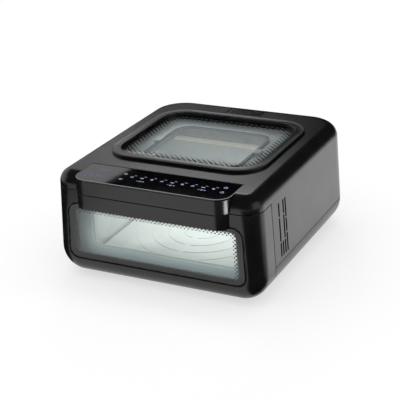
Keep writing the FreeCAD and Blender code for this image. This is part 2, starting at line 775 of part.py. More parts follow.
def make_control_panel():
    """Upper half of the brow, its touch panel and its board."""
    across = half("brow_width")
    shell = rounded("panel_block", across, ("brow_y", "panel_y"), ("brow_seam_z + seam_gap / 2", "panel_z"),
                    "brow_round", keep="front")
    step = block("panel_step", half("2 * brow_width"), ("face_y - play", "panel_y + wall"),
                 ("brow_seam_z - wall", "canopy_z"))
    hollow = rounded("panel_hollow", half("brow_width - 2 * panel_wall"),
                     ("brow_y + panel_wall", "panel_y - panel_wall"), ("canopy_z + panel_wall", "top_z"),
                     "brow_round - panel_wall", keep="front")
    posts = []
    for side in (-1, 1):
        for along in ("face_y + board_lift + play", "panel_y - 2 * board_lift"):
            posts.append(rod(f"board_post_{len(posts)}", "z", f"{side} * (brow_width / 2 - 4 * board_lift)",
                             along,
                             "canopy_z", "panel_wall + board_lift", "board_lift / 2"))
    sub_part("control_panel_housing", fuse("panel_with_posts", cut("panel_shell", shell, step, hollow),
                                           *posts))
    sub_part("touch_panel", rounded("touch_slab", across, ("brow_y", "panel_y"),
                                    ("panel_z", "panel_z + panel_gauge"),
                                    "brow_round", keep="front", top="panel_round"))
    sub_part("control_board", block("board_slab", half("brow_width - 6 * board_lift"),
                                    ("face_y", "panel_y - board_lift"),
                                    ("canopy_z + panel_wall + board_lift",
                                     "canopy_z + panel_wall + board_lift + board_gauge")))


def make_oven(inside):
    """Front frame, liner, top plate with its glass and clips, and the fan guard."""
    mouth = block("mouth_hole", half("mouth_width"), ("frame_y - wall", "liner_y + wall"),
                  ("mouth_z", "pan_top_z + mouth_head"))
    plunger_hole = rod("frame_plunger_hole", "y", "switch_x", "frame_y - wall", "switch_z", "3 * wall",
                       "plunger_radius + play")
    frame_body = leaning("frame_plate", "wall + play", "floor_z + wall + play", "liner_top_z", "frame_y",
                         "liner_y")
    low = doc.Places.floor_z + doc.Sizes.wall + doc.Sizes.play
    add_fillet(frame_body, "frame_plate_corners", "bottom_round - wall",
               lambda b: runs_front_to_back(b) and b.ZMax < low + TINY)
    sub_part("front_frame", cut("frame_cut", common("frame_in_casing", frame_body, inside), mouth,
                                plunger_hole))

    outer = block("liner_outer", half("liner_width + 2 * sheet_gauge"),
                  ("liner_y", "liner_back_y + sheet_gauge"),
                  ("liner_floor_z", "liner_top_z"))
    inner = block("liner_inner", half("liner_width"), ("liner_y - wall", "liner_back_y"),
                  ("liner_floor_z + sheet_gauge", "liner_top_z + wall"))
    intake = rod("liner_intake", "y", "0", "liner_back_y - wall", "fan_z", "3 * wall", "intake_radius")
    probe_hole = rod("liner_probe_hole", "y", "probe_x", "liner_back_y - wall", "probe_z",
                     "3 * wall", "probe_radius + play")
    lamp_hole = rod("liner_lamp_hole", "x", "-liner_width / 2 - 2 * wall", "face_y + lamp_setback",
                    "lamp_z", "4 * wall", "lamp_radius + play")
    sub_part("oven_liner", cut("liner_cut", outer, inner, intake, probe_hole, lamp_hole))

    guard = rod("guard_disc", "y", "0", "liner_back_y - sheet_gauge", "fan_z", "sheet_gauge",
                "intake_radius + guard_lap")
    slots = ring_slots("guard_slots", "y", "0", "liner_back_y - wall", "fan_z", "2 * wall", "guard_pitch",
                       "guard_pitch", "guard_slot", 4, "guard_slot")
    sub_part("fan_guard", cut("guard_cut", guard, slots))


def make_top_plate():
    """Plate over the liner, with a flanged opening, an inner glass and the clips that hold the glass."""
    def plate_slab(name, grow, low, high):
        return rounded(name, about("0", f"plate_hole_width / 2 + {grow}"),
                       about("plate_y", f"plate_hole_depth / 2 + {grow}"), (low, high),
                       f"plate_hole_round + {grow}")

    sheet = block("plate_sheet", half("liner_width + 2 * sheet_gauge"),
                  ("liner_y", "liner_back_y + sheet_gauge"),
                  ("liner_top_z", "liner_top_z + sheet_gauge"))
    collar = plate_slab("plate_collar", "sheet_gauge", "liner_top_z - plate_flange",
                        "liner_top_z + sheet_gauge / 2")
    hole = plate_slab("plate_hole", "0", "liner_top_z - 2 * plate_flange", "top_z")
    sub_part("liner_top_plate", cut("plate_cut", fuse("plate_solid", sheet, collar), hole))
    top = "liner_top_z + sheet_gauge"
    sub_part("top_inner_glass", plate_slab("inner_pane", "2 * glass_lap", top, f"{top} + glass_gauge"))
    clips = []
    for side in (-1, 1):
        edge = "plate_hole_width / 2 + 2 * glass_lap"
        span = about("plate_y", "clip_width / 2")
        foot = block(f"clip_foot_{len(clips)}", sided(side, f"{edge} + play", f"{edge} + clip_width / 2"),
                     span,
                     (top, f"{top} + glass_gauge + sheet_gauge"))
        tongue = block(f"clip_tongue_{len(clips)}",
                       sided(side, f"{edge} - glass_lap", f"{edge} + clip_width / 2"),
                       span, (f"{top} + glass_gauge", f"{top} + glass_gauge + sheet_gauge"))
        clips.append(fuse(f"clip_{len(clips)}", foot, tongue))
    sub_part("inner_glass_clips", group("clip_set", clips))


def make_heaters():
    """Two heater tubes with ceramic ends, hung from the top plate by brackets."""
    caps = []
    brackets = []
    for name in ("heater_front", "heater_rear"):
        y = f"{name}_y"
        sub_part(name.replace("heater", "heater_tube"),
                 rod(f"{name}_tube", "x", "-heater_length / 2", y, "heater_z", "heater_length",
                     "heater_radius"))
        for side in (-1, 1):
            start = "heater_length / 2" if side > 0 else "-heater_length / 2 - cap_length"
            caps.append(rod(f"{name}_cap_{len(caps)}", "x", start, y, "heater_z", "cap_length",
                            "cap_radius"))
            strap = block(f"{name}_strap_{len(caps)}",
                          sided(side, "heater_length / 2 + cap_length / 3",
                                "heater_length / 2 + 2 * cap_length / 3"),
                          about(y, "cap_radius + 2 * sheet_gauge"),
                          ("heater_z - cap_radius / 2", "liner_top_z"))
            eye = rod(f"{name}_eye_{len(caps)}", "x", start, y, "heater_z", "cap_length",
                      "cap_radius + play")
            brackets.append(cut(f"{name}_bracket_{len(caps)}", strap, eye))
    sub_part("heater_end_caps", group("heater_cap_set", caps))
    sub_part("heater_brackets", group("heater_bracket_set", brackets))


def make_fan():
    """Fan chamber, motor and bracket, and what turns: both fans, the shaft and the nut."""
    back = "liner_back_y + sheet_gauge"
    box = block("chamber_box", about("0", "chamber_half"), (back, "chamber_y"),
                about("fan_z", "chamber_half"))
    room = block("chamber_room", about("0", "chamber_half - sheet_gauge"),
                 (f"{back} - wall", "chamber_y - sheet_gauge"),
                 about("fan_z", "chamber_half - sheet_gauge"))
    eye = rod("chamber_eye", "y", "0", f"{back}", "fan_z", "2 * chamber_depth", "2 * shaft_radius")
    sub_part("fan_chamber", cut("chamber_cut", box, room, eye))
    plate = block("bracket_plate", about("0", "bracket_half"), ("chamber_y", "motor_y"),
                  about("fan_z", "bracket_half"))
    sub_part("motor_bracket", cut("bracket_cut", plate, eye))
    can = rod("motor_can", "y", "0", "motor_y", "fan_z", "motor_length", "motor_radius")
    bore = rod("motor_bore", "y", "0", "motor_y - wall", "fan_z", "motor_length + 2 * wall",
               "shaft_radius + shaft_play")
    sub_part("fan_motor", cut("motor_cut", can, bore))

    shaft_start = "fan_y - nut_length"
    sub_part("motor_shaft", rod("shaft_rod", "y", "0", shaft_start, "fan_z",
                                f"cooler_y + cooler_width - ({shaft_start})", "shaft_radius"))
    through = rod("hub_bore", "y", "0", "fan_y - chamber_depth", "fan_z", "rear_y - fan_y + chamber_depth",
                  "shaft_radius + shaft_play / 2")
    nut = rod("nut_rod", "y", "0", shaft_start, "fan_z", "nut_length", "nut_radius")
    sub_part("fan_nut", cut("nut_cut", nut, through))
    sub_part("convection_fan", cut("convection_cut", wheel("convection", "fan_y", "fan_width", "fan_hub",
                                                           "fan_radius"),
                                   through))
    sub_part("cooling_fan", cut("cooling_cut", wheel("cooling", "cooler_y", "cooler_width", "fan_hub",
                                                     "cooler_radius"),
                                through))


def wheel(name, start, width, hub, radius):
    """A fan wheel: a hub, a back disc and eight flat blades."""
    disc = rod(f"{name}_disc", "y", "0", f"{start} + {width} - blade_gauge", "fan_z", "blade_gauge", radius)
    core = rod(f"{name}_hub", "y", "0", start, "fan_z", width, hub)
    blades = []
    for number in range(4):
        blade = doc.addObject("Part::Box", f"{name}_blade_{number}")
        turn = FreeCAD.Rotation(FreeCAD.Vector(0, 1, 0), 45 * number)
        sideways = turn.multVec(FreeCAD.Vector(-1, 0, 0))
        drop = turn.multVec(FreeCAD.Vector(0, 0, -0.5))
        blade.Placement = FreeCAD.Placement(FreeCAD.Vector(), turn)
        blade.setExpression("Length", sized(f"2 * ({radius}) - 2 * blade_gauge"))
        blade.setExpression("Width", sized(f"{width}"))
        blade.setExpression("Height", sized("blade_gauge"))
        reach = f"({radius} - blade_gauge)"
        blade.setExpression("Placement.Base.x",
                            sized(f"{sideways.x:.6f} * {reach} + {drop.x:.6f} * blade_gauge"))
        blade.setExpression("Placement.Base.y", sized(start))
        blade.setExpression("Placement.Base.z",
                            sized(f"fan_z + {sideways.z:.6f} * {reach} + {drop.z:.6f} * blade_gauge"))
        blades.append(blade)
    return fuse(f"{name}_wheel", disc, core, *blades)


def make_electrics():
    """Heat shield, power board, switch, probe, cut-out and lamp."""
    sub_part("heat_shield", block("shield_sheet", ("shield_x", "shield_x + shield_gauge"),
                                  ("shield_y", "liner_back_y - shield_end"),
                                  ("shield_z", "liner_top_z - shield_drop")))
    board_y = ("shield_y", "shield_y + power_length")
    board_z = ("power_low_z", "power_high_z")
    sub_part("power_board", block("power_slab", ("power_x", "power_x + board_gauge"), board_y, board_z))
    standoffs = []
    for along in (f"{board_y[0]} + standoff_inset", f"{board_y[1]} - standoff_inset"):
        for level in (f"{board_z[0]} + standoff_inset", f"{board_z[1]} - standoff_inset"):
            standoffs.append(rod(f"standoff_{len(standoffs)}", "x", "shield_x + shield_gauge", along, level,
                                 "power_gap", "standoff_radius"))
    sub_part("board_standoffs", group("standoff_set", standoffs))
    outer = "power_x + board_gauge"
    relay = block("relay_block", (outer, f"{outer} + 2 * power_gap"),
                  (f"{board_y[0]} + 3 * standoff_inset", f"{board_y[0]} + 6 * standoff_inset"),
                  (f"{board_z[0]} + standoff_inset", f"{board_z[0]} + 3 * standoff_inset"))
    core = block("transformer_block", (outer, f"{outer} + 2 * power_gap"),
                 (f"{board_y[1]} - 6 * standoff_inset", f"{board_y[1]} - 3 * standoff_inset"),
                 (f"{board_z[0]} + standoff_inset", f"{board_z[0]} + 4 * standoff_inset"))
    capacitor = rod("capacitor_can", "x", outer, f"{board_y[0]} + 4 * standoff_inset",
                    f"{board_z[1]} - 3 * standoff_inset", "2 * power_gap", "2 * standoff_radius")
    sub_part("board_components", group("component_set", [relay, core, capacitor]))

    case = block("switch_case", about("switch_x", "switch_width / 2"), ("liner_y", "liner_y + switch_depth"),
                 about("switch_z", "switch_tall / 2"))
    tip = "back_panel_y + play"
    room = rod("switch_room", "y", "switch_x", "liner_y - wall", "switch_z",
               f"{tip} + plunger_length + plunger_room - liner_y + wall", "plunger_radius + plunger_play")
    sub_part("door_switch", cut("switch_cut", case, room))
    sub_part("switch_plunger", rod("plunger_rod", "y", "switch_x", tip, "switch_z", "plunger_length",
                                   "plunger_radius"))

    wall_y = "liner_back_y + sheet_gauge"
    needle = rod("probe_needle", "y", "probe_x", "liner_back_y - probe_reach", "probe_z",
                 "probe_reach + sheet_gauge + wall", "probe_radius")
    flange = rod("probe_flange_disc", "y", "probe_x", wall_y, "probe_z", "wall", "probe_flange")
    sub_part("temperature_probe", fuse("probe_whole", needle, flange))
    left = "-liner_width / 2 - sheet_gauge"
    sub_part("thermal_cutout", rod("cutout_can", "x", f"{left} - cutout_length", "face_y + cutout_setback",
                                   "cutout_z", "cutout_length", "cutout_radius"))
    lamp_at = ("face_y + lamp_setback", "lamp_z")
    shade = rod("lamp_shade", "x", f"{left} - lamp_length", *lamp_at, "lamp_length",
                "lamp_radius + lamp_wall")
    well = rod("lamp_well", "x", f"{left} - lamp_length + lamp_wall", *lamp_at, "lamp_length",
               "lamp_radius + play")
    sub_part("lamp_holder", cut("lamp_cup", shade, well))
    sub_part("lamp_lens", rod("lens_disc", "x", f"{left} - lamp_wall", *lamp_at,
                              "lamp_wall + sheet_gauge + lamp_reach", "lamp_radius"))


def make_drawer_front(outside, inside):
    """Drawer shell, its front glass and gasket, the back panel and the handle with its screws."""
    zone = block("drawer_zone", half("2 * base_width"), ("face_y - wall", "bay_y - seam_gap / 2"),
                 ("floor_z - wall", "drawer_top_z"))
    room = block("drawer_room", half("2 * base_width"), ("face_y + front_wall", "bay_y + wall"),
                 ("floor_z - wall", "drawer_top_z - wall"))
    bed = leaning_plate("glass_bed", "glass_margin - play", "glass_low_z - play", "glass_high_z + play",
                        "face_y - wall", "face_y + glass_gauge + gasket_gauge", "glass_round")
    view = leaning_plate("glass_view", "glass_margin + view_margin", "glass_low_z + view_rise",
                         "glass_high_z - view_drop", "face_y - wall", "face_y + 2 * front_wall",
                         "pane_round")
    holes = []
    screws = []
    blind = []
    for side in (-1, 1):
        x = f"{side} * (brow_width - handle_end) / 2"
        z = "drawer_top_z - handle_height / 2"
        holes.append(rod(f"handle_clear_{side + 1}", "y", x, "face_y - wall", z, "front_wall + 2 * wall",
                         "handle_screw + play"))
        blind.append(rod(f"handle_pilot_{side + 1}", "y", x, "face_y - handle_bite - play", z, "brow_depth",
                         "handle_screw + shaft_play"))
        shank = rod(f"handle_shank_{side + 1}", "y", x, "face_y - handle_bite", z,
                    "handle_bite + front_wall + shaft_play", "handle_screw")
        head = rod(f"handle_head_{side + 1}", "y", x, "face_y + front_wall", z, "handle_screw",
                   "2 * handle_screw")
        screws.append(fuse(f"handle_screw_{side + 1}", shank, head))
    shell = cut("drawer_skin", common("drawer_form", outside, zone), common("drawer_space", inside, room),
                bed)
    sub_part("drawer_front_shell", cut("drawer_cut", shell, view, *holes))
    sub_part("handle_screws", group("handle_screw_set", screws))
    sub_part("front_outer_glass", leaning_plate("front_pane", "glass_margin", "glass_low_z", "glass_high_z",
                                                "face_y", "face_y + glass_gauge", "glass_round - play"))
    ring = leaning_plate("front_gasket_block", "glass_margin + play", "glass_low_z + play",
                         "glass_high_z - play",
                         "face_y + glass_gauge", "face_y + glass_gauge + gasket_gauge", "glass_round - play")
    ring_hole = leaning_plate("front_gasket_hole", "glass_margin + gasket_width",
                              "glass_low_z + gasket_width",
                              "glass_high_z - gasket_width", "face_y", "face_y + front_wall", "pane_round")
    sub_part("front_glass_gasket", cut("front_gasket_cut", ring, ring_hole))

    bar = rounded("handle_bar", half("brow_width"), ("brow_y", "face_y + 2 * brow_round"),
                  ("drawer_top_z - handle_height", "drawer_top_z"), "brow_round", keep="front")
    back = block("handle_back", half("2 * brow_width"), ("face_y", "face_y + 3 * brow_round"),
                 ("drawer_top_z - 2 * handle_height", "drawer_top_z + wall"))
    grip = block("handle_grip", half("brow_width - 2 * handle_end"),
                 ("brow_y + handle_wall", "face_y + wall"),
                 ("drawer_top_z - 2 * handle_height", "drawer_top_z - handle_wall"))
    sub_part("drawer_handle", cut("handle_cut", bar, back, grip, *blind))


def make_pan():
    """Pan with its flange and window, the drawer's back panel, runners, and the crisper plate."""
    across = half("pan_width")
    along = ("pan_y", "pan_back_y")
    blank = rounded("pan_blank", across, along, ("pan_z", "pan_top_z"), "pan_round", bottom="pan_foot_round")
    flange = block("pan_flange_sheet", half("pan_width + 2 * pan_flange"),
                   ("back_panel_y", "back_panel_y + pan_flange_gauge"),
                   ("pan_z - pan_clear + 2 * play", "pan_top_z + pan_clear - 2 * play"))
    inner = rounded("pan_inner", half("pan_width - 2 * sheet_gauge"),
                    ("pan_y + sheet_gauge", "pan_back_y - sheet_gauge"),
                    ("pan_z + sheet_gauge", "pan_top_z + 3 * pan_flange"), "pan_round - sheet_gauge",
                    bottom="pan_foot_round - sheet_gauge")
    window = rounded("pan_window", half("pane_width"), ("pan_y - wall", "pan_y + wall"),
                     ("pane_low_z", "pane_high_z"), "pane_round", "y")
    panel_body = leaning("back_panel_sheet", "wall + play", "floor_z + wall + play",
                         "drawer_top_z - wall - play",
                         "back_panel_y - wall", "back_panel_y")
    low = doc.Places.floor_z + doc.Sizes.wall + doc.Sizes.play
    add_fillet(panel_body, "back_panel_corners", "bottom_round - wall",
               lambda b: runs_front_to_back(b) and b.ZMax < low + TINY)
    doorway = block("back_panel_hole", half("pan_width + 2 * play"),
                    ("back_panel_y - 2 * wall", "back_panel_y + wall"),
                    ("pan_z - play", "pan_top_z + play"))
    holes = []
    screws = []
    for side in (-1, 1):
        for level in ("pan_z + pan_flange", "pan_top_z - pan_flange"):
            x = f"{side} * (pan_width + pan_flange) / 2"
            number = len(screws)
            holes.append(rod(f"pan_clear_hole_{number}", "y", x, "back_panel_y - 2 * wall", level,
                             "4 * wall", "pan_screw + shaft_play"))
            shank = rod(f"pan_shank_{number}", "y", x, "back_panel_y - wall - shaft_play", level,
                        "wall + pan_flange_gauge + shaft_play", "pan_screw")
            head = rod(f"pan_head_{number}", "y", x, "back_panel_y - wall - pan_screw", level, "pan_screw",
                       "2 * pan_screw")
            screws.append(fuse(f"pan_screw_{number}", shank, head))
    sub_part("pan", cut("pan_cut", fuse("pan_solid", blank, flange), inner, window, *holes))
    sub_part("drawer_back_panel", cut("back_panel_cut", panel_body, doorway, *holes))
    sub_part("pan_screws", group("pan_screw_set", screws))

    def pane_slab(name, grow, front, rear):
        return rounded(name, about("0", f"pane_width / 2 + {grow}"), (front, rear),
                       (f"pane_low_z - ({grow})", f"pane_high_z + {grow}"), "pane_round", "y")

    seat = "pan_y - gasket_gauge"
    front = f"{seat} - glass_gauge"
    sub_part("pan_window_glass", pane_slab("pan_pane", "pane_lap", front, seat))
    sub_part("pan_window_gasket", cut("pan_gasket_cut", pane_slab("pan_gasket_block", "pane_lap", seat,
                                                                  "pan_y"),
                                      pane_slab("pan_gasket_hole", "0", f"{seat} - wall", "pan_y + wall")))
    rim = pane_slab("pane_frame_rim", "pane_lap + pane_rim", f"{front} - sheet_gauge", "pan_y")
    bezel = pane_slab("pane_frame_bezel", "pane_lap + pane_rim + bezel_width", f"{front} - sheet_gauge",
                      front)
    pocket = pane_slab("pane_frame_pocket", "pane_lap + play", front, "pan_y + wall")
    sight = pane_slab("pane_frame_sight", "seal_sight", f"{front} - wall", "pan_y")
    sub_part("pan_window_frame", cut("pane_frame_cut", fuse("pane_frame_block", rim, bezel), pocket, sight))

    for side, name in ((-1, "left"), (1, "right")):
        rail_x = ("liner_width / 2 - rail_depth", "liner_width / 2")
        rail = block(f"rail_block_{name}", sided(side, *rail_x), ("liner_y", "rail_back_y"),
                     ("rail_z", "rail_z + rail_height"))
        groove = block(f"rail_groove_{name}", sided(side, f"{rail_x[0]} - wall", f"{rail_x[1]} - rail_web"),
                       ("liner_y - wall", "liner_back_y"),
                       ("rail_z + rail_gauge", "rail_z + rail_height - rail_gauge"))
        sub_part(f"slide_rail_{name}", cut(f"rail_cut_{name}", rail, groove))
        sub_part(f"runner_{name}",
                 block(f"runner_bar_{name}", sided(side, "pan_width / 2", f"{rail_x[1]} - rail_web - play"),
                       ("liner_y + pan_flange", "rail_back_y - runner_end"),
                       ("rail_z + rail_gauge + play", "rail_z + rail_height - rail_gauge - play")))


def make_crisper():
    """Crisper plate with pressed rings, standing on bumpers in the pan."""
    plate = rounded("crisper_blank", half("crisper_width"), about("crisper_y", "crisper_depth / 2"),
                    ("crisper_z", "crisper_z + crisper_gauge"), "crisper_round")
    room = min(doc.Places.crisper_width, doc.Places.crisper_depth) / 2 - doc.Sizes.ring_border
    rings = 1 + int((room - doc.Sizes.ring_first - doc.Sizes.ring_slot) // doc.Sizes.ring_pitch)
    grooves = ring_slots("crisper_grooves", "z", "0", "crisper_y",
                         "crisper_z + crisper_gauge - ring_groove", "ring_groove + wall",
                         "ring_first", "ring_pitch", "ring_slot", rings, "spoke_width")
    sub_part("crisper_plate", cut("crisper_cut", plate, grooves))
    bumpers = []
    for x in ("-(crisper_width / 2 - bumper_inset)", "crisper_width / 2 - bumper_inset"):
        for side in (-1, 1):
            bumpers.append(rod(f"bumper_{len(bumpers)}", "z", x,
                               f"crisper_y + {side} * (crisper_depth / 2 - bumper_inset)",
                               "crisper_z - crisper_lift + play", "crisper_lift - play", "bumper_radius"))
    sub_part("crisper_bumpers", group("bumper_set", bumpers))


def check_and_write():
    """Stop on any failed feature or bad solid, then write one file for each sub-part."""
    doc.recompute()
    failed = [item.Name for item in doc.Objects if {"Invalid", "Error"} & set(item.State)]
    for feature in sub_parts:
        if feature.Shape.isNull() or not feature.Shape.isValid() or not feature.Shape.Solids:
            failed.append(feature.Label)
    if failed:
        raise RuntimeError("not built: " + ", ".join(failed))
    os.makedirs("parts", exist_ok=True)
    for feature in sub_parts:
        feature.Shape.exportStep(os.path.join("parts", feature.Label + ".step"))
    print(len(sub_parts), "sub-parts written")


fill_sheet("Sizes", {alias: str(value) for alias, value in SIZES.items()})
fill_sheet("Places", {alias: "=" + sized(formula, own="Places") for alias, formula in PLACES.items()})
casing_outside, casing_inside, upper_shell, base_shell = make_casing()
make_upper_housing(casing_outside, casing_inside, upper_shell)
make_base(base_shell)
make_rear_cover()
make_lid_window()
make_control_panel()
make_oven(casing_inside)
make_top_plate()
make_heaters()
make_fan()
make_electrics()
make_drawer_front(casing_outside, casing_inside)
make_pan()
make_crisper()
check_and_write()
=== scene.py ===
"""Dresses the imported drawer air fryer: finishes, smooth mouldings, printed glass, touch icons, studio."""
import logging
import math
from dataclasses import dataclass, field
from enum import Enum
from typing import Any

import bmesh
import bpy
from mathutils import Matrix, Vector

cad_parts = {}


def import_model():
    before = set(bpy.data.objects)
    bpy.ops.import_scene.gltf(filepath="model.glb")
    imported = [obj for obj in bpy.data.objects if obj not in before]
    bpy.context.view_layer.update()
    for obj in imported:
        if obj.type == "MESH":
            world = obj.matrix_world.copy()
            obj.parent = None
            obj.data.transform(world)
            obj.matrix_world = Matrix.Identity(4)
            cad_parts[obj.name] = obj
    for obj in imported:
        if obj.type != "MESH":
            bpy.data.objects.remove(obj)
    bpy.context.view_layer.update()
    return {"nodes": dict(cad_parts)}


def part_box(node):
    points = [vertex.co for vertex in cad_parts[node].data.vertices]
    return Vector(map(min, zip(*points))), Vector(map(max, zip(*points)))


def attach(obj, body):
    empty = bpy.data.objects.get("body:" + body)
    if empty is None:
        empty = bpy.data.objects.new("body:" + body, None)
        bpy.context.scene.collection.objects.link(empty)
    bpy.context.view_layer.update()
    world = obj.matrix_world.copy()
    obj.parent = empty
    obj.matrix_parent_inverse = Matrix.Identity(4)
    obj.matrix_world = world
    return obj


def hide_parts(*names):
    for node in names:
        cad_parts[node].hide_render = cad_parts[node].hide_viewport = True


LOG = logging.getLogger("air_fryer")
MM = 0.001
# Points nearer to each other than this, in metres, are one
MERGE = 1e-6
# Faces that meet at more than this keep a hard edge between them
SHARP = math.radians(28)
# Faces that meet at less than this are one flat face
FLAT = math.radians(0.2)

Point = tuple[float, float]
Line = tuple[Point, Point]
Place = tuple[float, float, float]


class Slot(Enum):
    """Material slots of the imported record."""

    SHELL = "shell_plastic"
    PANEL = "panel_gloss"
    WINDOW = "window_glass"
    INNER_GLASS = "inner_glass"
    SEAL = "seal_rubber"
    FOOT = "foot_rubber"
    LINER = "liner_steel"
    PAN = "pan_enamel"
    HEATER = "heater_steel"
    CERAMIC = "heater_ceramic"
    SCREW = "screw_steel"
    BOARD = "board_laminate"
    COMPONENT = "component_plastic"
    PLUNGER = "plunger_plastic"
    MOTOR = "motor_steel"
    FAN = "fan_aluminium"


class Body(Enum):
    """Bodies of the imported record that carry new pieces."""

    CASING = "casing"
    DRAWER = "drawer"
    CRISPER = "crisper"


class Grain(Enum):
    """How a surface's fine pattern was made."""

    MOULDED = "moulded"
    BRUSHED = "brushed"
    SPANGLED = "spangled"


def linear(hex_colour: str) -> tuple[float, float, float, float]:
    """Turn an sRGB hex colour to linear light.

    Args:
        hex_colour: Six hex digits after a hash.

    Returns:
        Red, green, blue and an alpha of 1.
    """
    channels = [int(hex_colour[at:at + 2], 16) / 255 for at in (1, 3, 5)]
    curve = [c / 12.92 if c <= 0.04045 else ((c + 0.055) / 1.055) ** 2.4 for c in channels]
    return (curve[0], curve[1], curve[2], 1.0)


def add_node(tree: bpy.types.NodeTree, kind: str, inputs: dict[str | int, Any] | None = None,
             **settings: Any) -> bpy.types.Node:
    """Add one node with its settings, values and links.

    Args:
        tree: The tree that gets the node.
        kind: The node's type name.
        inputs: A value, or a socket to link, for each input by name or number.
        **settings: The node's own properties.

    Returns:
        The new node.
    """
    node = tree.nodes.new(kind)
    for name, value in settings.items():
        setattr(node, name, value)
    for key, value in (inputs or {}).items():
        if isinstance(value, bpy.types.NodeSocket):
            tree.links.new(value, node.inputs[key])
        else:
            node.inputs[key].default_value = value
    return node


def start_material(name: str) -> tuple[bpy.types.Material, bpy.types.NodeTree]:
    """Make an empty node material.

    Args:
        name: The material's name.

    Returns:
        The material and its node tree.
    """
    material = bpy.data.materials.new(name)
    material.use_nodes = True
    material.node_tree.nodes.clear()
    return material, material.node_tree


@dataclass(frozen=True)
class Finish:
    """An opaque surface with a fine pattern in its colour, roughness and relief."""

    name: str
    slot: Slot
    colour: str
    fleck: str
    rough: tuple[float, float]
    grain_mm: float
    relief: float
    grain: Grain = Grain.MOULDED
    metallic: float = 0.0
    ior: float = 1.5
    coat: float = 0.0
    coat_rough: float = 0.06
    glow: str = "#000000"
    glow_strength: float = 0.0
    relief_depth: float = 0.1 * MM
    grain_detail: float = 3.0
    grain_edge: float = 0.6
    # Brush lines are this many times as long as they are wide
    brush_length: float = 40.0
    # The tone drifts slowly, over this many grains
    drift_width: float = 60.0
    drift_detail: float = 2.0
    # How much the grain adds to the drift, and where their sum starts and ends the fleck
    grain_share: float = 0.6
    fleck_span: tuple[float, float] = (0.5, 1.1)

    @property
    def cell(self) -> float:
        """Grains to the metre."""
        return 1 / (self.grain_mm * MM)

    def pattern(self, tree: bpy.types.NodeTree, place: bpy.types.NodeSocket) -> bpy.types.NodeSocket:
        """Add the nodes of the fine pattern.

        Args:
            tree: The material's node tree.
            place: The socket of the piece's own coordinates.

        Returns:
            The socket of the pattern.
        """
        if self.grain is Grain.SPANGLED:
            cells = add_node(tree, "ShaderNodeTexVoronoi", {"Vector": place, "Scale": self.cell})
            split = add_node(tree, "ShaderNodeSeparateColor", {"Color": cells.outputs["Color"]})
            return split.outputs["Red"]
        along = self.cell / self.brush_length if self.grain is Grain.BRUSHED else self.cell
        mapped = add_node(tree, "ShaderNodeMapping", {
            "Vector": place, "Scale": (along, self.cell, self.cell)})
        noise = add_node(tree, "ShaderNodeTexNoise", {
            "Vector": mapped.outputs["Vector"], "Scale": 1.0, "Detail": self.grain_detail,
            "Roughness": self.grain_edge})
        return noise.outputs["Fac"]

    def material(self) -> bpy.types.Material:
        """Build the node material.

        Returns:
            The material.
        """
        material, tree = start_material(self.name)
        place = add_node(tree, "ShaderNodeTexCoord").outputs["Object"]
        pattern = self.pattern(tree, place)
        drift = add_node(tree, "ShaderNodeTexNoise", {
            "Vector": place, "Scale": self.cell / self.drift_width, "Detail": self.drift_detail})
        both = add_node(tree, "ShaderNodeMath", {0: pattern, 1: self.grain_share, 2: drift.outputs["Fac"]},
                        operation="MULTIPLY_ADD")
        share = add_node(tree, "ShaderNodeMapRange", {
            "Value": both.outputs[0], "From Min": self.fleck_span[0], "From Max": self.fleck_span[1]})
        tone = add_node(tree, "ShaderNodeMix", {
            "Factor": share.outputs["Result"], "A": linear(self.colour), "B": linear(self.fleck)},
            data_type="RGBA")
        rough = add_node(tree, "ShaderNodeMapRange", {
            "Value": share.outputs["Result"], "To Min": self.rough[0], "To Max": self.rough[1]})
        bump = add_node(tree, "ShaderNodeBump", {
            "Height": pattern, "Strength": self.relief, "Distance": self.relief_depth})
        shader = add_node(tree, "ShaderNodeBsdfPrincipled", {
            "Base Color": tone.outputs["Result"], "Roughness": rough.outputs["Result"],
            "Normal": bump.outputs["Normal"], "Metallic": self.metallic, "IOR": self.ior,
            "Coat Weight": self.coat, "Coat Roughness": self.coat_rough,
            "Emission Color": linear(self.glow), "Emission Strength": self.glow_strength})
        add_node(tree, "ShaderNodeOutputMaterial", {"Surface": shader.outputs["BSDF"]})
        return material


@dataclass(frozen=True)
class ClearGlass:
    """Tempered soda-lime glass: clear, very smooth, with a breath of colour in its thickness."""

    name: str
    slot: Slot
    tint: str
    ior: float = 1.5
    smear_mm: float = 30.0
    smear_detail: float = 4.0
    # Where the smears start and end, and how rough they leave the glass
    smear_span: tuple[float, float] = (0.45, 0.75)
    smear_rough: float = 0.05

    def material(self) -> bpy.types.Material:
        """Build the node material.

        Returns:
            The material.
        """
        material, tree = start_material(self.name)
        place = add_node(tree, "ShaderNodeTexCoord").outputs["Object"]
        smear = add_node(tree, "ShaderNodeTexNoise", {
            "Vector": place, "Scale": 1 / (self.smear_mm * MM), "Detail": self.smear_detail})
        rough = add_node(tree, "ShaderNodeMapRange", {
            "Value": smear.outputs["Fac"], "From Min": self.smear_span[0], "From Max": self.smear_span[1],
            "To Min": 0.0, "To Max": self.smear_rough})
        shader = add_node(tree, "ShaderNodeBsdfPrincipled", {
            "Base Color": linear(self.tint), "Roughness": rough.outputs["Result"], "IOR": self.ior,
            "Transmission Weight": 1.0})
        add_node(tree, "ShaderNodeOutputMaterial", {"Surface": shader.outputs["BSDF"]})
        return material


# Mould grain, enamel speckle and brush lines are really 0.1 to 0.4 mm wide, which is too fine to show, so
# they are drawn at 0.6 mm and more

# Satin ABS of the drawer and brow from a fine spark-eroded mould: near black with a clear soft sheen
SATIN_ABS = Finish("satin_black_abs", Slot.SHELL, "#161617", "#1c1c1e", rough=(0.22, 0.30), grain_mm=0.9,
                   relief=0.03, ior=1.54)
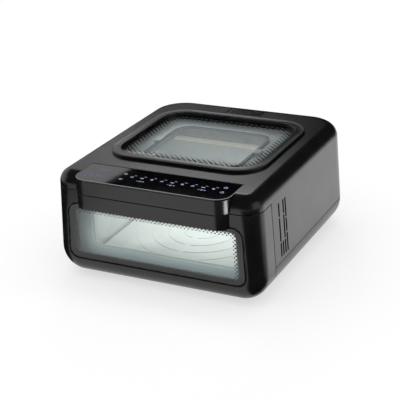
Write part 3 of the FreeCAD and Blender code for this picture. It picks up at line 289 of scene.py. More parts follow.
# Matte ABS of the casing from a coarser mould: near black, a broad sheen that goes grey under a low light
MATTE_ABS = Finish("matte_black_abs", Slot.SHELL, "#141415", "#1a1a1c", rough=(0.25, 0.32), grain_mm=0.9,
                   relief=0.04, ior=1.54)
# Polished acrylic over a black print: a true mirror with the faintest haze
POLISHED_ACRYLIC = Finish("polished_black_acrylic", Slot.PANEL, "#050507", "#08080b", rough=(0.02, 0.05),
                          grain_mm=25.0, relief=0.0)
# Galvanised steel sheet: pale grey with a soft spangle of zinc crystals
GALVANISED = Finish("galvanised_steel_sheet", Slot.LINER, "#b9c2c1", "#d2dad8", rough=(0.32, 0.46),
                    grain_mm=6.0, relief=0.02, grain=Grain.SPANGLED, metallic=1.0)
# Blue-grey coated sheet over the oven: dull and even, a soft cloud in its tone
COATED_SHEET = Finish("blue_grey_coated_sheet", Slot.LINER, "#b4c0c3", "#bcc7ca", rough=(0.5, 0.6),
                      grain_mm=4.0, relief=0.02)
# Pale grey fired enamel: smooth, glassy top, a fine speckle
FIRED_ENAMEL = Finish("pale_grey_enamel", Slot.PAN, "#d2d8d7", "#dde3e1", rough=(0.22, 0.34),
                      grain_mm=1.6, relief=0.02, coat=0.3)
# Fired enamel of the window's bezel: cold grey-green, even, less glassy than the pan
BEZEL_ENAMEL = Finish("grey_green_enamel", Slot.PAN, "#d0e0e2", "#d8e6e7", rough=(0.35, 0.45),
                      grain_mm=1.6, relief=0.02)
# Drawn stainless sheath of a heater, with a painted warm glow that stands in for the bright streaks of
# light on the tubes
HEATER_SHEATH = Finish("heater_sheath_steel", Slot.HEATER, "#d8d6cc", "#e4e2d8", rough=(0.3, 0.45),
                       grain_mm=1.0, relief=0.05, grain=Grain.BRUSHED, metallic=1.0, glow="#fff0d2",
                       glow_strength=0.8)
# Stainless probe rod without the heater's warmth: bright and smooth
PROBE_STEEL = Finish("probe_steel", Slot.HEATER, "#c9c9c6", "#d8d8d4", rough=(0.25, 0.35), grain_mm=1.0,
                     relief=0.03, metallic=1.0)
# Unglazed steatite: chalky off-white with a fine tooth
STEATITE = Finish("unglazed_steatite", Slot.CERAMIC, "#d8d2c6", "#e4dfd5", rough=(0.6, 0.75),
                  grain_mm=0.8, relief=0.1)
# Zinc-plated screw steel: bright, slightly milky
ZINC_PLATE = Finish("zinc_plated_steel", Slot.SCREW, "#b4b7ba", "#c6c8ca", rough=(0.2, 0.32),
                    grain_mm=0.6, relief=0.03, metallic=1.0)
# Glass-fibre laminate under a green solder mask: glossy, with the weave just showing
SOLDER_MASK = Finish("green_solder_mask", Slot.BOARD, "#0f4a2b", "#175c38", rough=(0.3, 0.42),
                     grain_mm=3.0, relief=0.05)
# Black nylon of relays, clips and glands: dry and a little grey
BLACK_NYLON = Finish("black_nylon", Slot.COMPONENT, "#202021", "#29292a", rough=(0.5, 0.62), grain_mm=0.8,
                     relief=0.1)
# Red acetal of the switch plunger: waxy
RED_ACETAL = Finish("red_acetal", Slot.PLUNGER, "#b3201c", "#c22a25", rough=(0.35, 0.45), grain_mm=0.8,
                    relief=0.05)
# Drawn motor can: dull bright steel with fine lines along it
DRAWN_STEEL = Finish("drawn_motor_steel", Slot.MOTOR, "#9fa1a2", "#b2b4b4", rough=(0.3, 0.42),
                     grain_mm=0.8, relief=0.05, grain=Grain.BRUSHED, metallic=1.0)
# Pressed aluminium of the fans: pale and faintly rolled
PRESSED_ALUMINIUM = Finish("pressed_aluminium", Slot.FAN, "#c6c8c9", "#d5d7d8", rough=(0.28, 0.4),
                           grain_mm=1.2, relief=0.05, grain=Grain.BRUSHED, metallic=1.0)
# Black silicone of the glass seals: matte and faintly dusty
SILICONE = Finish("black_silicone", Slot.SEAL, "#161616", "#1e1e1e", rough=(0.6, 0.75),
                  grain_mm=1.0, relief=0.1)
# Milky silicone of the pan window's seal: pale, with a faint painted glow for the oven's light shining
# through it
MILKY_SILICONE = Finish("milky_silicone", Slot.SEAL, "#dfe7e3", "#e8eeeb", rough=(0.45, 0.55),
                        grain_mm=1.0, relief=0.03, glow="#e6f0ec", glow_strength=0.1)
# Moulded rubber of the feet: dull dark grey
FOOT_RUBBER = Finish("foot_rubber", Slot.FOOT, "#1f1f1f", "#2a2a2a", rough=(0.7, 0.85),
                     grain_mm=1.2, relief=0.15)
# Back-lit print under the acrylic: cold white
ICON_LIGHT = Finish("backlit_icon_print", Slot.PANEL, "#9aa3c8", "#a4add0", rough=(0.3, 0.4),
                    grain_mm=5.0, relief=0.0, glow="#c3cdf2", glow_strength=0.4)
# Segments of the display at rest: a dull violet that hardly shows, with a faint painted glow
UNLIT_SEGMENT = Finish("unlit_display_segment", Slot.PANEL, "#3a3558", "#443f64", rough=(0.3, 0.4),
                       grain_mm=5.0, relief=0.0, glow="#6f68c0", glow_strength=0.4)
# Pale frosted strip on the acrylic's rounded rim: a painted highlight that draws the thin light line along
# its edge
EDGE_HIGHLIGHT = Finish("painted_edge_highlight", Slot.PANEL, "#a2a4a6", "#aeb0b1", rough=(0.45, 0.55),
                     grain_mm=0.8, relief=0.03)
# Black ceramic ink fired into a pane: opaque, dull under the glass
FIRED_INK = Finish("fired_black_ink", Slot.SEAL, "#0d1011", "#121516", rough=(0.5, 0.6),
                   grain_mm=2.0, relief=0.0)
# Grey ceramic ink of the front pane: a slate frit with a cold cast
SLATE_INK = Finish("fired_slate_ink", Slot.SEAL, "#22262b", "#292d32", rough=(0.5, 0.6),
                   grain_mm=2.0, relief=0.0)
# Black sealant in the joint round the front pane: dead matte, so that it draws a dark line
SEALANT = Finish("black_joint_sealant", Slot.SEAL, "#060606", "#0a0a0a", rough=(0.85, 0.95), grain_mm=1.0,
                 relief=0.1, ior=1.3)
# Clear tempered outer panes: sharp reflections and hardly any tint
OUTER_PANE = ClearGlass("outer_tempered_glass", Slot.WINDOW, "#edf0f0")
# Clear tempered panes inside the oven: clearer still
INNER_PANE = ClearGlass("inner_tempered_glass", Slot.INNER_GLASS, "#f2f4f3")
# Smoked tempered pane under the lid, which holds the oven's light back
SMOKED_PANE = ClearGlass("smoked_tempered_glass", Slot.INNER_GLASS, "#b0b6b8")


def set_material(piece: bpy.types.Object, material: bpy.types.Material) -> None:
    """Give a piece or CAD node one material in place of its own.

    Args:
        piece: The piece or CAD node.
        material: Its material.
    """
    piece.data.materials.clear()
    piece.data.materials.append(material)


def new_piece(name: str, mesh: bmesh.types.BMesh, body: Body) -> bpy.types.Object:
    """Turn a bmesh into a piece that rides on a body.

    Args:
        name: The piece's name.
        mesh: The finished bmesh, which is freed.
        body: The body that carries the piece.

    Returns:
        The new object.
    """
    data = bpy.data.meshes.new(name)
    mesh.to_mesh(data)
    mesh.free()
    piece = bpy.data.objects.new(name, data)
    bpy.context.scene.collection.objects.link(piece)
    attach(piece, body.value)
    LOG.info("piece %s on %s: %d faces", name, body.value, len(data.polygons))
    return piece


def shade_by_angle(mesh: bmesh.types.BMesh) -> None:
    """Shade faces smooth, and keep the edges that turn sharply.

    Args:
        mesh: The bmesh to shade.
    """
    for face in mesh.faces:
        face.smooth = True
    for edge in mesh.edges:
        edge.smooth = len(edge.link_faces) == 2 and edge.calc_face_angle(0.0) < SHARP


@dataclass(frozen=True)
class Window:
    """A rounded oblong on a pane: its middle, half sizes and corner radius, across and up the pane."""

    middle: Vector
    half: Vector
    corner: float
    corner_steps: int = 10

    def shrunk(self, sides: float, low: float, high: float) -> "Window":
        """The same oblong drawn in.

        Args:
            sides: How far its two sides move in.
            low: How far its lower or front edge moves in.
            high: How far its upper or rear edge moves in.

        Returns:
            The smaller oblong.
        """
        middle = self.middle + Vector((0, (low - high) / 2))
        half = self.half - Vector((sides, (low + high) / 2))
        return Window(middle, half, max(self.corner - sides, sides / 2))

    def depth(self, point: Vector) -> float:
        """How far inside the outline a point is, negative outside.

        Args:
            point: The point.

        Returns:
            The distance to the outline.
        """
        past = Vector((abs(point.x - self.middle.x), abs(point.y - self.middle.y))) - self.half
        past += Vector((self.corner, self.corner))
        outer = Vector((max(past.x, 0), max(past.y, 0)))
        return self.corner - outer.length - min(max(past.x, past.y), 0)

    def outline(self, mesh: bmesh.types.BMesh) -> list[bmesh.types.BMEdge]:
        """Add the outline to a mesh as a loop of edges.

        Args:
            mesh: The bmesh that gets it.

        Returns:
            The loop's edges.
        """
        place = Matrix.Translation((*self.middle, 0)) @ Matrix.Diagonal((*self.half, 1, 1))
        corners = bmesh.ops.create_grid(mesh, x_segments=1, y_segments=1, size=1, matrix=place)["verts"]
        made = bmesh.ops.bevel(mesh, geom=corners, offset=self.corner, offset_type="OFFSET",
                               affect="VERTICES", segments=self.corner_steps, profile=0.5, material=-1)
        face = made["verts"][0].link_faces[0]
        edges = list(face.edges)
        bmesh.ops.delete(mesh, geom=[face], context="FACES_ONLY")
        return edges


def band(outer: Window, inner: Window) -> bmesh.types.BMesh:
    """Build the level band between two oblongs.

    Args:
        outer: The outer oblong.
        inner: The inner oblong.

    Returns:
        The band's bmesh.
    """
    mesh = bmesh.new()
    bmesh.ops.bridge_loops(mesh, edges=outer.outline(mesh) + inner.outline(mesh))
    bmesh.ops.recalc_face_normals(mesh, faces=mesh.faces)
    return mesh


@dataclass(frozen=True)
class GlassPrint:
    """A border fired into a pane, solid outside and breaking into dots towards the clear middle."""

    rim: float
    sides: float
    low: float
    high: float
    fade: float
    pitch: float
    largest: float
    least: float
    sink: float = 0.1 * MM
    dot_sides: int = 8
    dot_turn: float = math.radians(45)
    # How far the dots reach back into the solid border, as a share of the fade
    overlap: float = 0.2

    def dots(self, mesh: bmesh.types.BMesh, clear: Window) -> None:
        """Add the dots, which shrink as they go in.

        Args:
            mesh: The bmesh of the print, level and unmoved.
            clear: The oblong inside the solid border.
        """
        reach = int(clear.half.length / self.pitch) + 1
        turn = Matrix.Rotation(self.dot_turn, 2)
        for row in range(-reach, reach + 1):
            for column in range(-reach, reach + 1):
                point = clear.middle + turn @ Vector((column, row)) * self.pitch
                share = clear.depth(point) / self.fade
                if -self.overlap < share < 1:
                    radius = (self.largest + (self.least - self.largest) * max(share, 0)) * self.pitch
                    bmesh.ops.create_circle(mesh, cap_ends=True, segments=self.dot_sides, radius=radius,
                                            matrix=Matrix.Translation((*point, 0)))

    def film(self, pane: Window) -> bmesh.types.BMesh:
        """Build the print, level and unmoved.

        Args:
            pane: The pane's outline.

        Returns:
            The print's bmesh.
        """
        clear = pane.shrunk(self.sides, self.low, self.high)
        mesh = band(pane.shrunk(self.rim, self.rim, self.rim), clear)
        self.dots(mesh, clear)
        for face in mesh.faces:
            if face.normal.z < 0:
                face.normal_flip()
        return mesh


@dataclass
class Assembly:
    """Nodes that belong together, and what dresses them."""

    nodes: dict[str, bpy.types.Object]
    materials: dict[str, bpy.types.Material] = field(default_factory=dict)
    edge_steps: int = 2

    def build(self) -> None:
        """Build and dress the sub-assembly, as each kind does in its own way."""
        raise NotImplementedError

    def material_of(self, finish: Finish | ClearGlass) -> bpy.types.Material:
        """Build a finish once and hand it out again.

        Args:
            finish: The finish.

        Returns:
            Its material.
        """
        if finish.name not in self.materials:
            self.materials[finish.name] = finish.material()
        return self.materials[finish.name]

    def dress(self, finish: Finish | ClearGlass, *names: str) -> None:
        """Give CAD nodes a finish as they are.

        Args:
            finish: The finish.
            *names: The nodes.
        """
        for name in names:
            set_material(self.nodes[name], self.material_of(finish))
            LOG.info("node %s: %s", name, finish.name)

    def finish_piece(self, piece: bpy.types.Object, finish: Finish) -> None:
        """Give a new piece its finish.

        Args:
            piece: The new piece.
            finish: Its finish.
        """
        set_material(piece, self.material_of(finish))

    def merged_copy(self, name: str) -> bmesh.types.BMesh:
        """Copy a node's mesh with its triangles joined and its flat faces whole.

        Args:
            name: The node.

        Returns:
            The copy.
        """
        mesh = bmesh.new()
        mesh.from_mesh(self.nodes[name].data)
        bmesh.ops.remove_doubles(mesh, verts=mesh.verts, dist=MERGE)
        bmesh.ops.dissolve_limit(mesh, angle_limit=FLAT, verts=mesh.verts, edges=mesh.edges)
        return mesh

    def moulding(self, name: str, body: Body, finish: Finish, edge_round: float = 0.0) -> None:
        """Replace a CAD node by a smooth-shaded copy with eased edges.

        Args:
            name: The node.
            body: The body that carries it.
            finish: Its finish.
            edge_round: How far its sharp edges are eased, in metres.
        """
        mesh = self.merged_copy(name)
        if edge_round:
            corners = [edge for edge in mesh.edges if edge.is_convex and edge.calc_face_angle(0.0) > SHARP]
            bmesh.ops.bevel(mesh, geom=corners, offset=edge_round, offset_type="OFFSET", affect="EDGES",
                            segments=self.edge_steps, profile=0.5, material=-1)
        self.smooth_piece(name, mesh, body, finish)

    def smooth_piece(self, name: str, mesh: bmesh.types.BMesh, body: Body, finish: Finish) -> None:
        """Shade a reworked copy smooth and let it stand for its CAD node.

        Args:
            name: The node.
            mesh: The reworked copy, which is freed.
            body: The body that carries it.
            finish: Its finish.
        """
        shade_by_angle(mesh)
        piece = new_piece(f"{name}_moulding", mesh, body)
        weighted = piece.modifiers.new("even_normals", "WEIGHTED_NORMAL")
        weighted.keep_sharp = True
        self.finish_piece(piece, finish)
        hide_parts(name)


@dataclass
class Casing(Assembly):
    """Housing, base, rear cover, vents and feet."""

    edge_round: float = 0.7 * MM
    # The covers are thin, so their edges are eased less
    cover_round: float = 0.3 * MM

    def build(self) -> None:
        """Smooth the mouldings and dress the rest."""
        for name in ("upper_housing", "base_tray"):
            self.moulding(name, Body.CASING, MATTE_ABS, self.edge_round)
        for name in ("rear_cover", "rear_vent_grille"):
            self.moulding(name, Body.CASING, MATTE_ABS, self.cover_round)
        self.dress(FOOT_RUBBER, "feet")
        self.dress(ZINC_PLATE, "foot_screws", "rear_cover_screws")
        self.dress(BLACK_NYLON, "cord_gland")


@dataclass
class LidWindow(Assembly):
    """Trim ring, printed lid glass, its seal, and the inner pane below."""

    crown: float = 0.6 * MM
    crown_slope: float = 5.5 * MM
    corner: float = 40.0 * MM
    # The dots are fired about 3 mm apart, and are drawn at 6.5 mm so that they show on the lid's slant
    ink: GlassPrint = GlassPrint(rim=0.6 * MM, sides=7.0 * MM, low=14.0 * MM, high=7.0 * MM, fade=18.0 * MM,
                                 pitch=6.5 * MM, largest=0.55, least=0.2)

    def fired_print(self) -> None:
        """Fire the border into the lid glass, just above its lower face."""
        low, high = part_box("top_outer_glass")
        pane = Window(((low + high) / 2).xy, ((high - low) / 2).xy, self.corner)
        mesh = self.ink.film(pane)
        bmesh.ops.translate(mesh, verts=mesh.verts, vec=(0, 0, low.z + self.ink.sink))
        self.finish_piece(new_piece("lid_glass_print", mesh, Body.CASING), FIRED_INK)

    def crowned_ring(self) -> None:
        """Replace the trim ring by a copy whose flat crest is crowned along its middle."""
        mesh = self.merged_copy("window_trim_ring")
        top = max(vert.co.z for vert in mesh.verts)
        crest = [face for face in mesh.faces if face.calc_center_median().z > top - MERGE]
        rim = {vert for face in crest for vert in face.verts}
        bmesh.ops.inset_region(mesh, faces=crest, thickness=self.crown_slope, use_even_offset=True)
        bmesh.ops.translate(mesh, verts=list(rim), vec=(0, 0, -self.crown))
        self.smooth_piece("window_trim_ring", mesh, Body.CASING, MATTE_ABS)

    def build(self) -> None:
        """Smooth the ring and dress the glass and what holds it."""
        self.crowned_ring()
        self.fired_print()
        self.dress(OUTER_PANE, "top_outer_glass")
        self.dress(SMOKED_PANE, "top_inner_glass")
        self.dress(SILICONE, "top_glass_gasket")
        self.dress(GALVANISED, "top_glass_retainer")
        self.dress(COATED_SHEET, "inner_glass_clips")
        for name in ("top_outer_glass", "top_inner_glass"):
            self.nodes[name].visible_shadow = False


@dataclass
class DrawerFront(Assembly):
    """Drawer shell, handle, printed front glass, seal and back panel."""

    edge_round: float = 0.9 * MM
    corner: float = 16.7 * MM
    # How far each side of the pane comes in for its height
    lean: float = 0.0531
    seal_out: float = 0.3 * MM
    seal_in: float = 2.0 * MM
    seal_film: float = 0.05 * MM
    # The dots are fired about 3 mm apart, and are drawn at 4.4 mm so that they show
    ink: GlassPrint = GlassPrint(rim=1.0 * MM, sides=9.5 * MM, low=3.5 * MM, high=7.0 * MM, fade=9.0 * MM,
                                 pitch=4.4 * MM, largest=0.58, least=0.22)

    def pane(self) -> Window:
        """Find the front pane's outline at half height, before its sides lean.

        Returns:
            The outline.
        """
        low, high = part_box("front_outer_glass")
        half = (high - low) / 2
        half.x -= self.lean * half.z
        return Window(((low + high) / 2).xz, half.xz, self.corner)

    def stand_up(self, mesh: bmesh.types.BMesh, y: float) -> None:
        """Lean a level film's sides as the pane's, and stand it up.

        Args:
            mesh: The film's bmesh, level, with its height along Y.
            y: Where it stands.
        """
        pane = self.pane()
        for vert in mesh.verts:
            vert.co.x *= 1 - self.lean * (vert.co.y - pane.middle.y) / pane.half.x
        bmesh.ops.rotate(mesh, verts=mesh.verts, cent=(0, 0, 0),
                         matrix=Matrix.Rotation(math.pi / 2, 3, "X"))
        bmesh.ops.translate(mesh, verts=mesh.verts, vec=(0, y, 0))

    def fired_print(self) -> None:
        """Fire the border into the front glass, just before its inner face."""
        mesh = self.ink.film(self.pane())
        self.stand_up(mesh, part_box("front_outer_glass")[1].y - self.ink.sink)
        self.finish_piece(new_piece("front_glass_print", mesh, Body.DRAWER), SLATE_INK)

    def seal_line(self) -> None:
        """Lay the sealant over the pane's rim and the joint round it."""
        pane = self.pane()
        outer = pane.shrunk(-self.seal_out, -self.seal_out, -self.seal_out)
        inner = pane.shrunk(self.seal_in, self.seal_in, self.seal_in)
        mesh = band(outer, inner)
        self.stand_up(mesh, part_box("front_outer_glass")[0].y - self.seal_film)
        self.finish_piece(new_piece("front_glass_seal_line", mesh, Body.DRAWER), SEALANT)

    def build(self) -> None:
        """Smooth the mouldings and dress the glass."""
        self.moulding("drawer_front_shell", Body.DRAWER, SATIN_ABS, self.edge_round)
        self.moulding("drawer_handle", Body.DRAWER, SATIN_ABS, self.edge_round)
        self.fired_print()
        self.seal_line()
        self.dress(OUTER_PANE, "front_outer_glass")
        self.nodes["front_outer_glass"].visible_shadow = False
        self.dress(SILICONE, "front_glass_gasket")
        self.dress(GALVANISED, "drawer_back_panel")
        self.dress(ZINC_PLATE, "handle_screws", "pan_screws")


@dataclass
class Pan(Assembly):
    """Enamelled pan with its window, runners and crisper plate."""

    edge_round: float = 0.2 * MM

    def build(self) -> None:
        """Smooth the enamelled sheet and dress the window."""
        self.moulding("pan", Body.DRAWER, FIRED_ENAMEL)
        self.moulding("pan_window_frame", Body.DRAWER, BEZEL_ENAMEL, self.edge_round)
        self.moulding("crisper_plate", Body.CRISPER, FIRED_ENAMEL, self.edge_round)
        self.dress(FIRED_ENAMEL, "runner_left", "runner_right")
        self.dress(INNER_PANE, "pan_window_glass")
        self.nodes["pan_window_glass"].visible_shadow = False
        self.dress(MILKY_SILICONE, "pan_window_gasket")
        self.dress(SILICONE, "crisper_bumpers")


@dataclass
class Oven(Assembly):
    """Liner, top plate, heaters, fan unit and lamp."""

    edge_round: float = 0.2 * MM

    def build(self) -> None:
        """Dress the oven's sheet metal, heaters, fans and lamp."""
        self.moulding("liner_top_plate", Body.CASING, COATED_SHEET, self.edge_round)
        self.dress(GALVANISED, "oven_liner", "front_frame", "heater_brackets", "fan_guard", "fan_chamber",
                   "motor_bracket", "heat_shield", "slide_rail_left", "slide_rail_right")
        self.dress(HEATER_SHEATH, "heater_tube_front", "heater_tube_rear")
        self.dress(PROBE_STEEL, "temperature_probe")
        self.dress(STEATITE, "heater_end_caps", "lamp_holder")
        self.dress(INNER_PANE, "lamp_lens")
        self.dress(DRAWN_STEEL, "fan_motor")
        self.dress(PRESSED_ALUMINIUM, "convection_fan", "cooling_fan")
        self.dress(ZINC_PLATE, "motor_shaft", "fan_nut")


@dataclass
class Electrics(Assembly):
    """Boards, switch and cut-out behind the right wall and under the touch panel."""

    def build(self) -> None:
        """Dress the boards and what stands on them."""
        self.dress(SOLDER_MASK, "control_board", "power_board")
        self.dress(BLACK_NYLON, "board_standoffs", "board_components", "door_switch", "thermal_cutout")
        self.dress(RED_ACETAL, "switch_plunger")


@dataclass
class ControlBrow(Assembly):
    """Upper half of the brow, with the touch panel and its lit icons, which are laid out in millimetres."""

    edge_round: float = 0.9 * MM
    film: float = 0.05 * MM
    line: float = 0.7 * MM
    bold: float = 1.7 * MM
    ring_steps: int = 20
    row_first: Point = (-41.4, -162.3)
    row_pitch: float = 16.75
    row_count: int = 9
    wedge: tuple[Point, ...] = ((-2.5, -1.5), (2.5, -1.5), (0.8, 1.8))
    slab: Line = ((-2.8, 0.0), (1.8, 0.0))
    slab_end: Line = ((2.4, -1.6), (2.4, 1.6))
    dish_radius: float = 1.8
    dish_bar: Line = ((-1.0, 0.0), (1.0, 0.0))
    caption: Line = ((1.5, 6.0), (5.5, 6.0))
    pair_keys: tuple[Point, ...] = ((-21.6, -173.8), (27.8, -171.7), (77.9, -171.8))
    pair_radius: float = 1.6
    minus: Line = ((-6.5, 0.0), (-3.5, 0.0))
    plus: tuple[Line, ...] = (((3.5, 0.0), (6.5, 0.0)), ((5.0, -1.5), (5.0, 1.5)))
    mode_keys: tuple[Point, ...] = ((-55.9, -154.9), (-53.8, -175.2))
    mode_radius: float = 2.2
    mode_hand: Line = ((0.0, 0.0), (0.0, 1.6))
    power_keys: tuple[Point, ...] = ((107.8, -152.9), (109.5, -170.0))
    power_radius: float = 2.6
    power_stem: Line = ((0.0, 0.8), (0.0, 3.8))
    digit_size: tuple[float, float] = (4.5, 9.0)
    digits_left: tuple[float, ...] = (-114.0, -106.0, -95.5, -87.5)
    digits_low: float = -179.5
    display_mark: Line = ((-101.5, -151.5), (-88.5, -151.5))
    display_dash: Line = ((-75.0, -156.2), (-68.0, -156.2))
    # How far up the faces of the panel's rounded rim look, from least to most
    edge_lean: tuple[float, float] = (0.15, 0.97)

    def stroke(self, mesh: bmesh.types.BMesh, ends: Line, at: Point = (0.0, 0.0),
               width: float | None = None) -> None:
        """Add one straight printed stroke.

        Args:
            mesh: The bmesh of the print.
            ends: The stroke's two ends.
            at: The point that they are counted from.
            width: Its width in metres, or the usual line.
        """
        a, b = (Vector((at[0] + x, at[1] + y, 0)) * MM for x, y in ends)
        turn = Matrix.Rotation(math.atan2(b.y - a.y, b.x - a.x), 4, "Z")
        size = Matrix.Diagonal(((b - a).length / 2, (width or self.line) / 2, 1, 1))
        lift = Vector((0, 0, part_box("touch_panel")[1].z + self.film))
        bmesh.ops.create_grid(mesh, x_segments=1, y_segments=1, size=1,
                              matrix=Matrix.Translation((a + b) / 2 + lift) @ turn @ size)

    def loop(self, mesh: bmesh.types.BMesh, points: tuple[Point, ...], at: Point) -> None:
        """Add strokes round a closed outline.

        Args:
            mesh: The bmesh of the print.
            points: The outline's corners.
            at: The point that they are counted from.
        """
        for ends in zip(points, points[1:] + points[:1]):
            self.stroke(mesh, ends, at)

    def ring(self, mesh: bmesh.types.BMesh, at: Point, radius: float) -> None:
        """Add a printed ring.

        Args:
            mesh: The bmesh of the print.
            at: Its centre.
            radius: Its radius.
        """
        turns = [2 * math.pi * step / self.ring_steps for step in range(self.ring_steps)]
        self.loop(mesh, tuple((radius * math.cos(turn), radius * math.sin(turn)) for turn in turns), at)

    def digit(self, mesh: bmesh.types.BMesh, at: Point) -> None:
        """Add the seven bars of a digit.

        Args:
            mesh: The bmesh of the print.
            at: Its lower left corner.
        """
        wide, tall = self.digit_size
        mid = tall / 2
        bars = (((0, tall), (wide, tall)), ((wide, mid), (wide, tall)), ((wide, 0), (wide, mid)),
                ((0, 0), (wide, 0)), ((0, 0), (0, mid)), ((0, mid), (0, tall)), ((0, mid), (wide, mid)))
        for bar in bars:
            self.stroke(mesh, bar, at)

    def wedge_sign(self, mesh: bmesh.types.BMesh, at: Point) -> None:
        """Add the outline of a slice to a print at a point."""
        self.loop(mesh, self.wedge, at)

    def slab_sign(self, mesh: bmesh.types.BMesh, at: Point) -> None:
        """Add a slab with a short upright at its end to a print at a point."""
        self.stroke(mesh, self.slab, at, self.bold)
        self.stroke(mesh, self.slab_end, at)

    def dish_sign(self, mesh: bmesh.types.BMesh, at: Point) -> None:
        """Add a round dish with a bar in it to a print at a point."""
        self.ring(mesh, at, self.dish_radius)
        self.stroke(mesh, self.dish_bar, at, self.bold)

    def programme_icons(self, mesh: bmesh.types.BMesh) -> None:
        """Add the row of programme signs: a wedge, a slab or a dish by turns, with a short bar above each.

        Args:
            mesh: The bmesh of the print.
        """
        signs = (self.wedge_sign, self.slab_sign, self.dish_sign)
        for number in range(self.row_count):
            at = (self.row_first[0] + number * self.row_pitch, self.row_first[1])
            signs[number % len(signs)](mesh, at)
            self.stroke(mesh, self.caption, at)

    def key_icons(self, mesh: bmesh.types.BMesh) -> None:
        """Add the paired keys with a minus, a ring and a plus, the mode keys and the power keys.

        Args:
            mesh: The bmesh of the print.
        """
        for key in self.pair_keys:
            self.stroke(mesh, self.minus, key)
            self.ring(mesh, key, self.pair_radius)
            for bar in self.plus:
                self.stroke(mesh, bar, key)
        for key in self.mode_keys:
            self.ring(mesh, key, self.mode_radius)
            self.stroke(mesh, self.mode_hand, key)
        for key in self.power_keys:
            self.ring(mesh, key, self.power_radius)
            self.stroke(mesh, self.power_stem, key)

    def display(self, mesh: bmesh.types.BMesh) -> None:
        """Add the display's dull segments.

        Args:
            mesh: The bmesh of the print.
        """
        for left in self.digits_left:
            self.digit(mesh, (left, self.digits_low))
        self.stroke(mesh, self.display_mark, width=self.bold)
        self.stroke(mesh, self.display_dash)

    def painted_rim_highlight(self) -> None:
        """Lay a pale strip over the panel's own rounded rim, as its painted edge highlight."""
        mesh = self.merged_copy("touch_panel")
        low, high = self.edge_lean
        others = [face for face in mesh.faces if not low < face.normal.z < high]
        bmesh.ops.delete(mesh, geom=others, context="FACES")
        for vert in mesh.verts:
            vert.co += vert.normal * self.film
        shade_by_angle(mesh)
        self.finish_piece(new_piece("touch_panel_ground_edge", mesh, Body.CASING), EDGE_HIGHLIGHT)

    def build(self) -> None:
        """Smooth the housing and panel, and print the icons."""
        self.moulding("control_panel_housing", Body.CASING, SATIN_ABS, self.edge_round)
        self.moulding("touch_panel", Body.CASING, POLISHED_ACRYLIC)
        self.painted_rim_highlight()
        icons = bmesh.new()
        self.programme_icons(icons)
        self.key_icons(icons)
        self.finish_piece(new_piece("touch_icons", icons, Body.CASING), ICON_LIGHT)
        segments = bmesh.new()
        self.display(segments)
        self.finish_piece(new_piece("display_segments", segments, Body.CASING), UNLIT_SEGMENT)


@dataclass(frozen=True)
class Softbox:
    """A rectangular lamp: its place and aim, in metres, and how bright its face is, where 1 is white."""

    name: str
    at: Place
    to: Place
    size: tuple[float, float]
    radiance: float
    colour: str = "#ffffff"

    def build(self) -> bpy.types.Object:
        """Set up the lamp, out of the camera's sight.

        Returns:
            The lamp.
        """
        data = bpy.data.lights.new(self.name, "AREA")
        data.shape = "RECTANGLE"
        data.size, data.size_y = self.size
        data.energy = self.radiance * math.pi * self.size[0] * self.size[1]
        data.color = linear(self.colour)[:3]
        lamp = bpy.data.objects.new(self.name, data)
        facing = (Vector(self.to) - Vector(self.at)).to_track_quat("-Z", "Y").to_matrix().to_4x4()
        lamp.matrix_world = Matrix.Translation(self.at) @ facing
        bpy.context.scene.collection.objects.link(lamp)
        lamp.visible_camera = False
        return lamp


# Low light behind the lid, which greys the top
LID_STRIP = Softbox("lid_strip", at=(-0.78, 1.5, 1.26), to=(-0.78, 0.0, 1.26), size=(0.58, 0.5),
                    radiance=4.0)
# Bounce from the floor along the right wall
RIGHT_BOUNCE = Softbox("right_bounce", at=(0.36, 0.28, 0.003), to=(0.36, 0.28, 1.0), size=(0.3, 0.8),
                       radiance=0.45)
# Bounce from the floor that draws the streak on the brow's right end
BROW_KICKER = Softbox("brow_kicker", at=(0.48, -0.16, 0.003), to=(0.48, -0.16, 1.0), size=(0.16, 0.3),
                      radiance=16.0)
# Light of the oven, under its top plate
OVEN_LIGHT = Softbox("oven_light", at=(0.0, 0.0, 0.1475), to=(0.0, 0.0, 0.0), size=(0.22, 0.16),
                     radiance=3.4, colour="#fffcfa")
# Faint light on the plate between the lid's panes
LID_FILL = Softbox("lid_fill", at=(-0.02, 0.05, 0.1695), to=(-0.02, 0.05, 0.0), size=(0.16, 0.11),
                   radiance=0.4, colour="#fafdff")
# Faint light on the bezel between the front pane and the pan
DRAWER_FILL = Softbox("drawer_fill", at=(0.0, -0.172, 0.055), to=(0.0, 0.0, 0.055), size=(0.26, 0.04),
                      radiance=0.42, colour="#eefafa")


